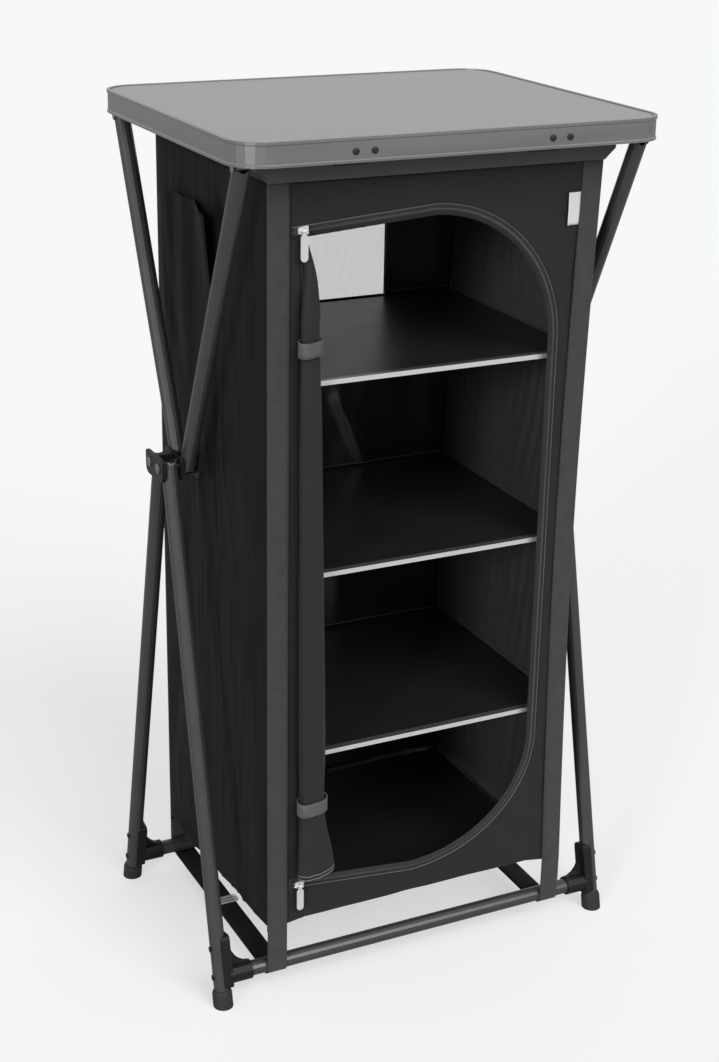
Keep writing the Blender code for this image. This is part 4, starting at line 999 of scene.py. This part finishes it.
def sleeveLines():
    # a seam along each wall over every shelf, left out where the window is
    lines = []
    wallReach = panelBack - sleeve["wallEnd"]
    beside = rearWindow["half"] + sleeve["windowGap"]
    for top in shelfTops[:3]:
        z = top + sleeve["rise"]
        run = evenly(-wallReach, wallReach, sleeve["steps"])
        lines.append([(rightPlace(y, z)[0] - sleeve["inward"], y, z) for y in run])
        lines.append([(leftPlace(y, z)[0] + sleeve["inward"], y, z) for y in run])
        across = evenly(-cabinetHalf + sleeve["rearLeft"], cabinetHalf - sleeve["rearRight"], sleeve["steps"])
        lines.append([(x, rearPlace(x, z)[1] - sleeve["inward"], z) for x in across
                      if abs(x) > beside or top != shelfTops[0]])
    return lines


def splitAtJumps(lines, jump):
    runs = []
    for line in lines:
        run = [line[0]]
        for a, b in zip(line, line[1:]):
            if (Vector(b) - Vector(a)).length > jump:
                runs.append(run)
                run = []
            run.append(b)
        runs.append(run)
    return runs


cordAlong("sleeveSeams", splitAtJumps(sleeveLines(), sleeve["jump"]), sleeve["radius"], 6, seamWelt,
          keep=crumple["seams"])

tag = {"left": 162 * mm, "width": 16.5 * mm, "low": 917 * mm, "high": 954 * mm, "proud": 0.5 * mm,
       "curl": 1.6 * mm, "bulge": 0.3 * mm, "rows": 12, "across": 6}


def tagPoint(u, v):
    away = tag["proud"] + tag["curl"] * (1 - u) ** 2 + tag["bulge"] * sin(pi * v)
    return (tag["left"] + tag["width"] * u, -panelFace - away, tag["low"] + (tag["high"] - tag["low"]) * v)


tagRows = [[tagPoint(u, v) for u in evenly(0, 1, tag["across"])] for v in evenly(0, 1, tag["rows"])]
sideTag = turnOutward(gridPiece("sideTag", tagRows, tagCloth), (0, -1, 0))
finishSheet(sideTag, thick["light"])
say("seams and tag")

# floor, light and camera


def surfaceTree(owner, output):
    owner.use_nodes = True
    tree = owner.node_tree
    tree.nodes.clear()
    path = tree.nodes.new("ShaderNodeLightPath").outputs
    return tree, path, tree.links.new, tree.nodes.new(output).inputs["Surface"]


def buildFloor():
    floorMesh, reach = bpy.data.meshes.new("studioFloor"), studio["floorReach"]
    corners = [(-reach, -reach, 0), (reach, -reach, 0), (reach, reach, 0), (-reach, reach, 0)]
    floorMesh.from_pydata(corners, [], [(0, 1, 2, 3)])
    floor = bpy.data.objects.new("studioFloor", floorMesh)
    floor.location.z = -0.2 * mm
    bpy.context.scene.collection.objects.link(floor)
    paper = bpy.data.materials.new("studioPaper")
    tree, path, link, surface = surfaceTree(paper, "ShaderNodeOutputMaterial")
    matt = addNode(tree, "ShaderNodeBsdfDiffuse", Color=(*studio["floorColour"], 1))
    glow = addNode(tree, "ShaderNodeEmission", Color=(*studio["backdrop"], 1))
    both = tree.nodes.new("ShaderNodeAddShader")
    lift = maths(tree, "MULTIPLY", path["Is Camera Ray"], studio["floorLift"])
    link(lift, glow.inputs["Strength"])
    link(matt.outputs["BSDF"], both.inputs[0])
    link(glow.outputs["Emission"], both.inputs[1])
    link(both.outputs["Shader"], surface)
    floorMesh.materials.append(paper)


def buildWorld():
    # the camera sees the backdrop, shiny surfaces a dimmer one, and the rest is lit softly
    world = bpy.data.worlds.new("studioWorld")
    bpy.context.scene.world = world
    tree, path, link, surface = surfaceTree(world, "ShaderNodeOutputWorld")
    seen = addNode(tree, "ShaderNodeBackground", Color=(*studio["backdrop"], 1), Strength=1.0)
    lit = addNode(tree, "ShaderNodeBackground", Color=(1, 1, 1, 1), Strength=studio["ambient"])
    mixed = tree.nodes.new("ShaderNodeMixShader")
    dimmed = maths(tree, "MULTIPLY", path["Is Glossy Ray"], studio["reflected"])
    direct = maths(tree, "MAXIMUM", path["Is Camera Ray"], dimmed)
    share = maths(tree, "MAXIMUM", direct, path["Is Transmission Ray"])
    link(share, mixed.inputs["Fac"])
    link(lit.outputs["Background"], mixed.inputs[1])
    link(seen.outputs["Background"], mixed.inputs[2])
    link(mixed.outputs["Shader"], surface)


def buildLights():
    for name in ("key", "fill"):
        light = bpy.data.lights.new(name + "Sun", "SUN")
        light.energy, light.angle = studio[name + "Sun"], radians(studio[name + "Softness"])
        lamp = bpy.data.objects.new(name + "Sun", light)
        lamp.rotation_euler = Vector(studio[name + "From"]).to_track_quat("Z", "Y").to_euler()
        bpy.context.scene.collection.objects.link(lamp)


cameraView = {"spot": (-0.9697, -1.928, 1.3566), "yaw": 26.474, "pitch": 21.30, "roll": 1.058,
              "focalPixels": 1871.3, "imageHeight": 1062}


def placeCamera():
    v = cameraView
    yaw, pitch, tilt = radians(v["yaw"]), radians(v["pitch"]), radians(v["roll"])
    forward = Vector((sin(yaw) * cos(pitch), cos(yaw) * cos(pitch), -sin(pitch)))
    level = Vector((cos(yaw), -sin(yaw), 0))
    above = level.cross(forward)
    right = level * cos(tilt) + above * sin(tilt)
    up = above * cos(tilt) - level * sin(tilt)
    lens = bpy.data.cameras.new("photoCamera")
    lens.sensor_width = 36
    lens.lens = 36 * v["focalPixels"] / v["imageHeight"]
    lens.clip_end = 200
    camera = bpy.data.objects.new("photoCamera", lens)
    turned = Matrix((right, up, -forward)).transposed().to_4x4()
    camera.matrix_world = Matrix.Translation(v["spot"]) @ turned
    bpy.context.scene.collection.objects.link(camera)
    bpy.context.scene.camera = camera


buildFloor()
buildWorld()
buildLights()
placeCamera()
bpy.context.scene.view_settings.view_transform = "Standard"
say("studio and camera")
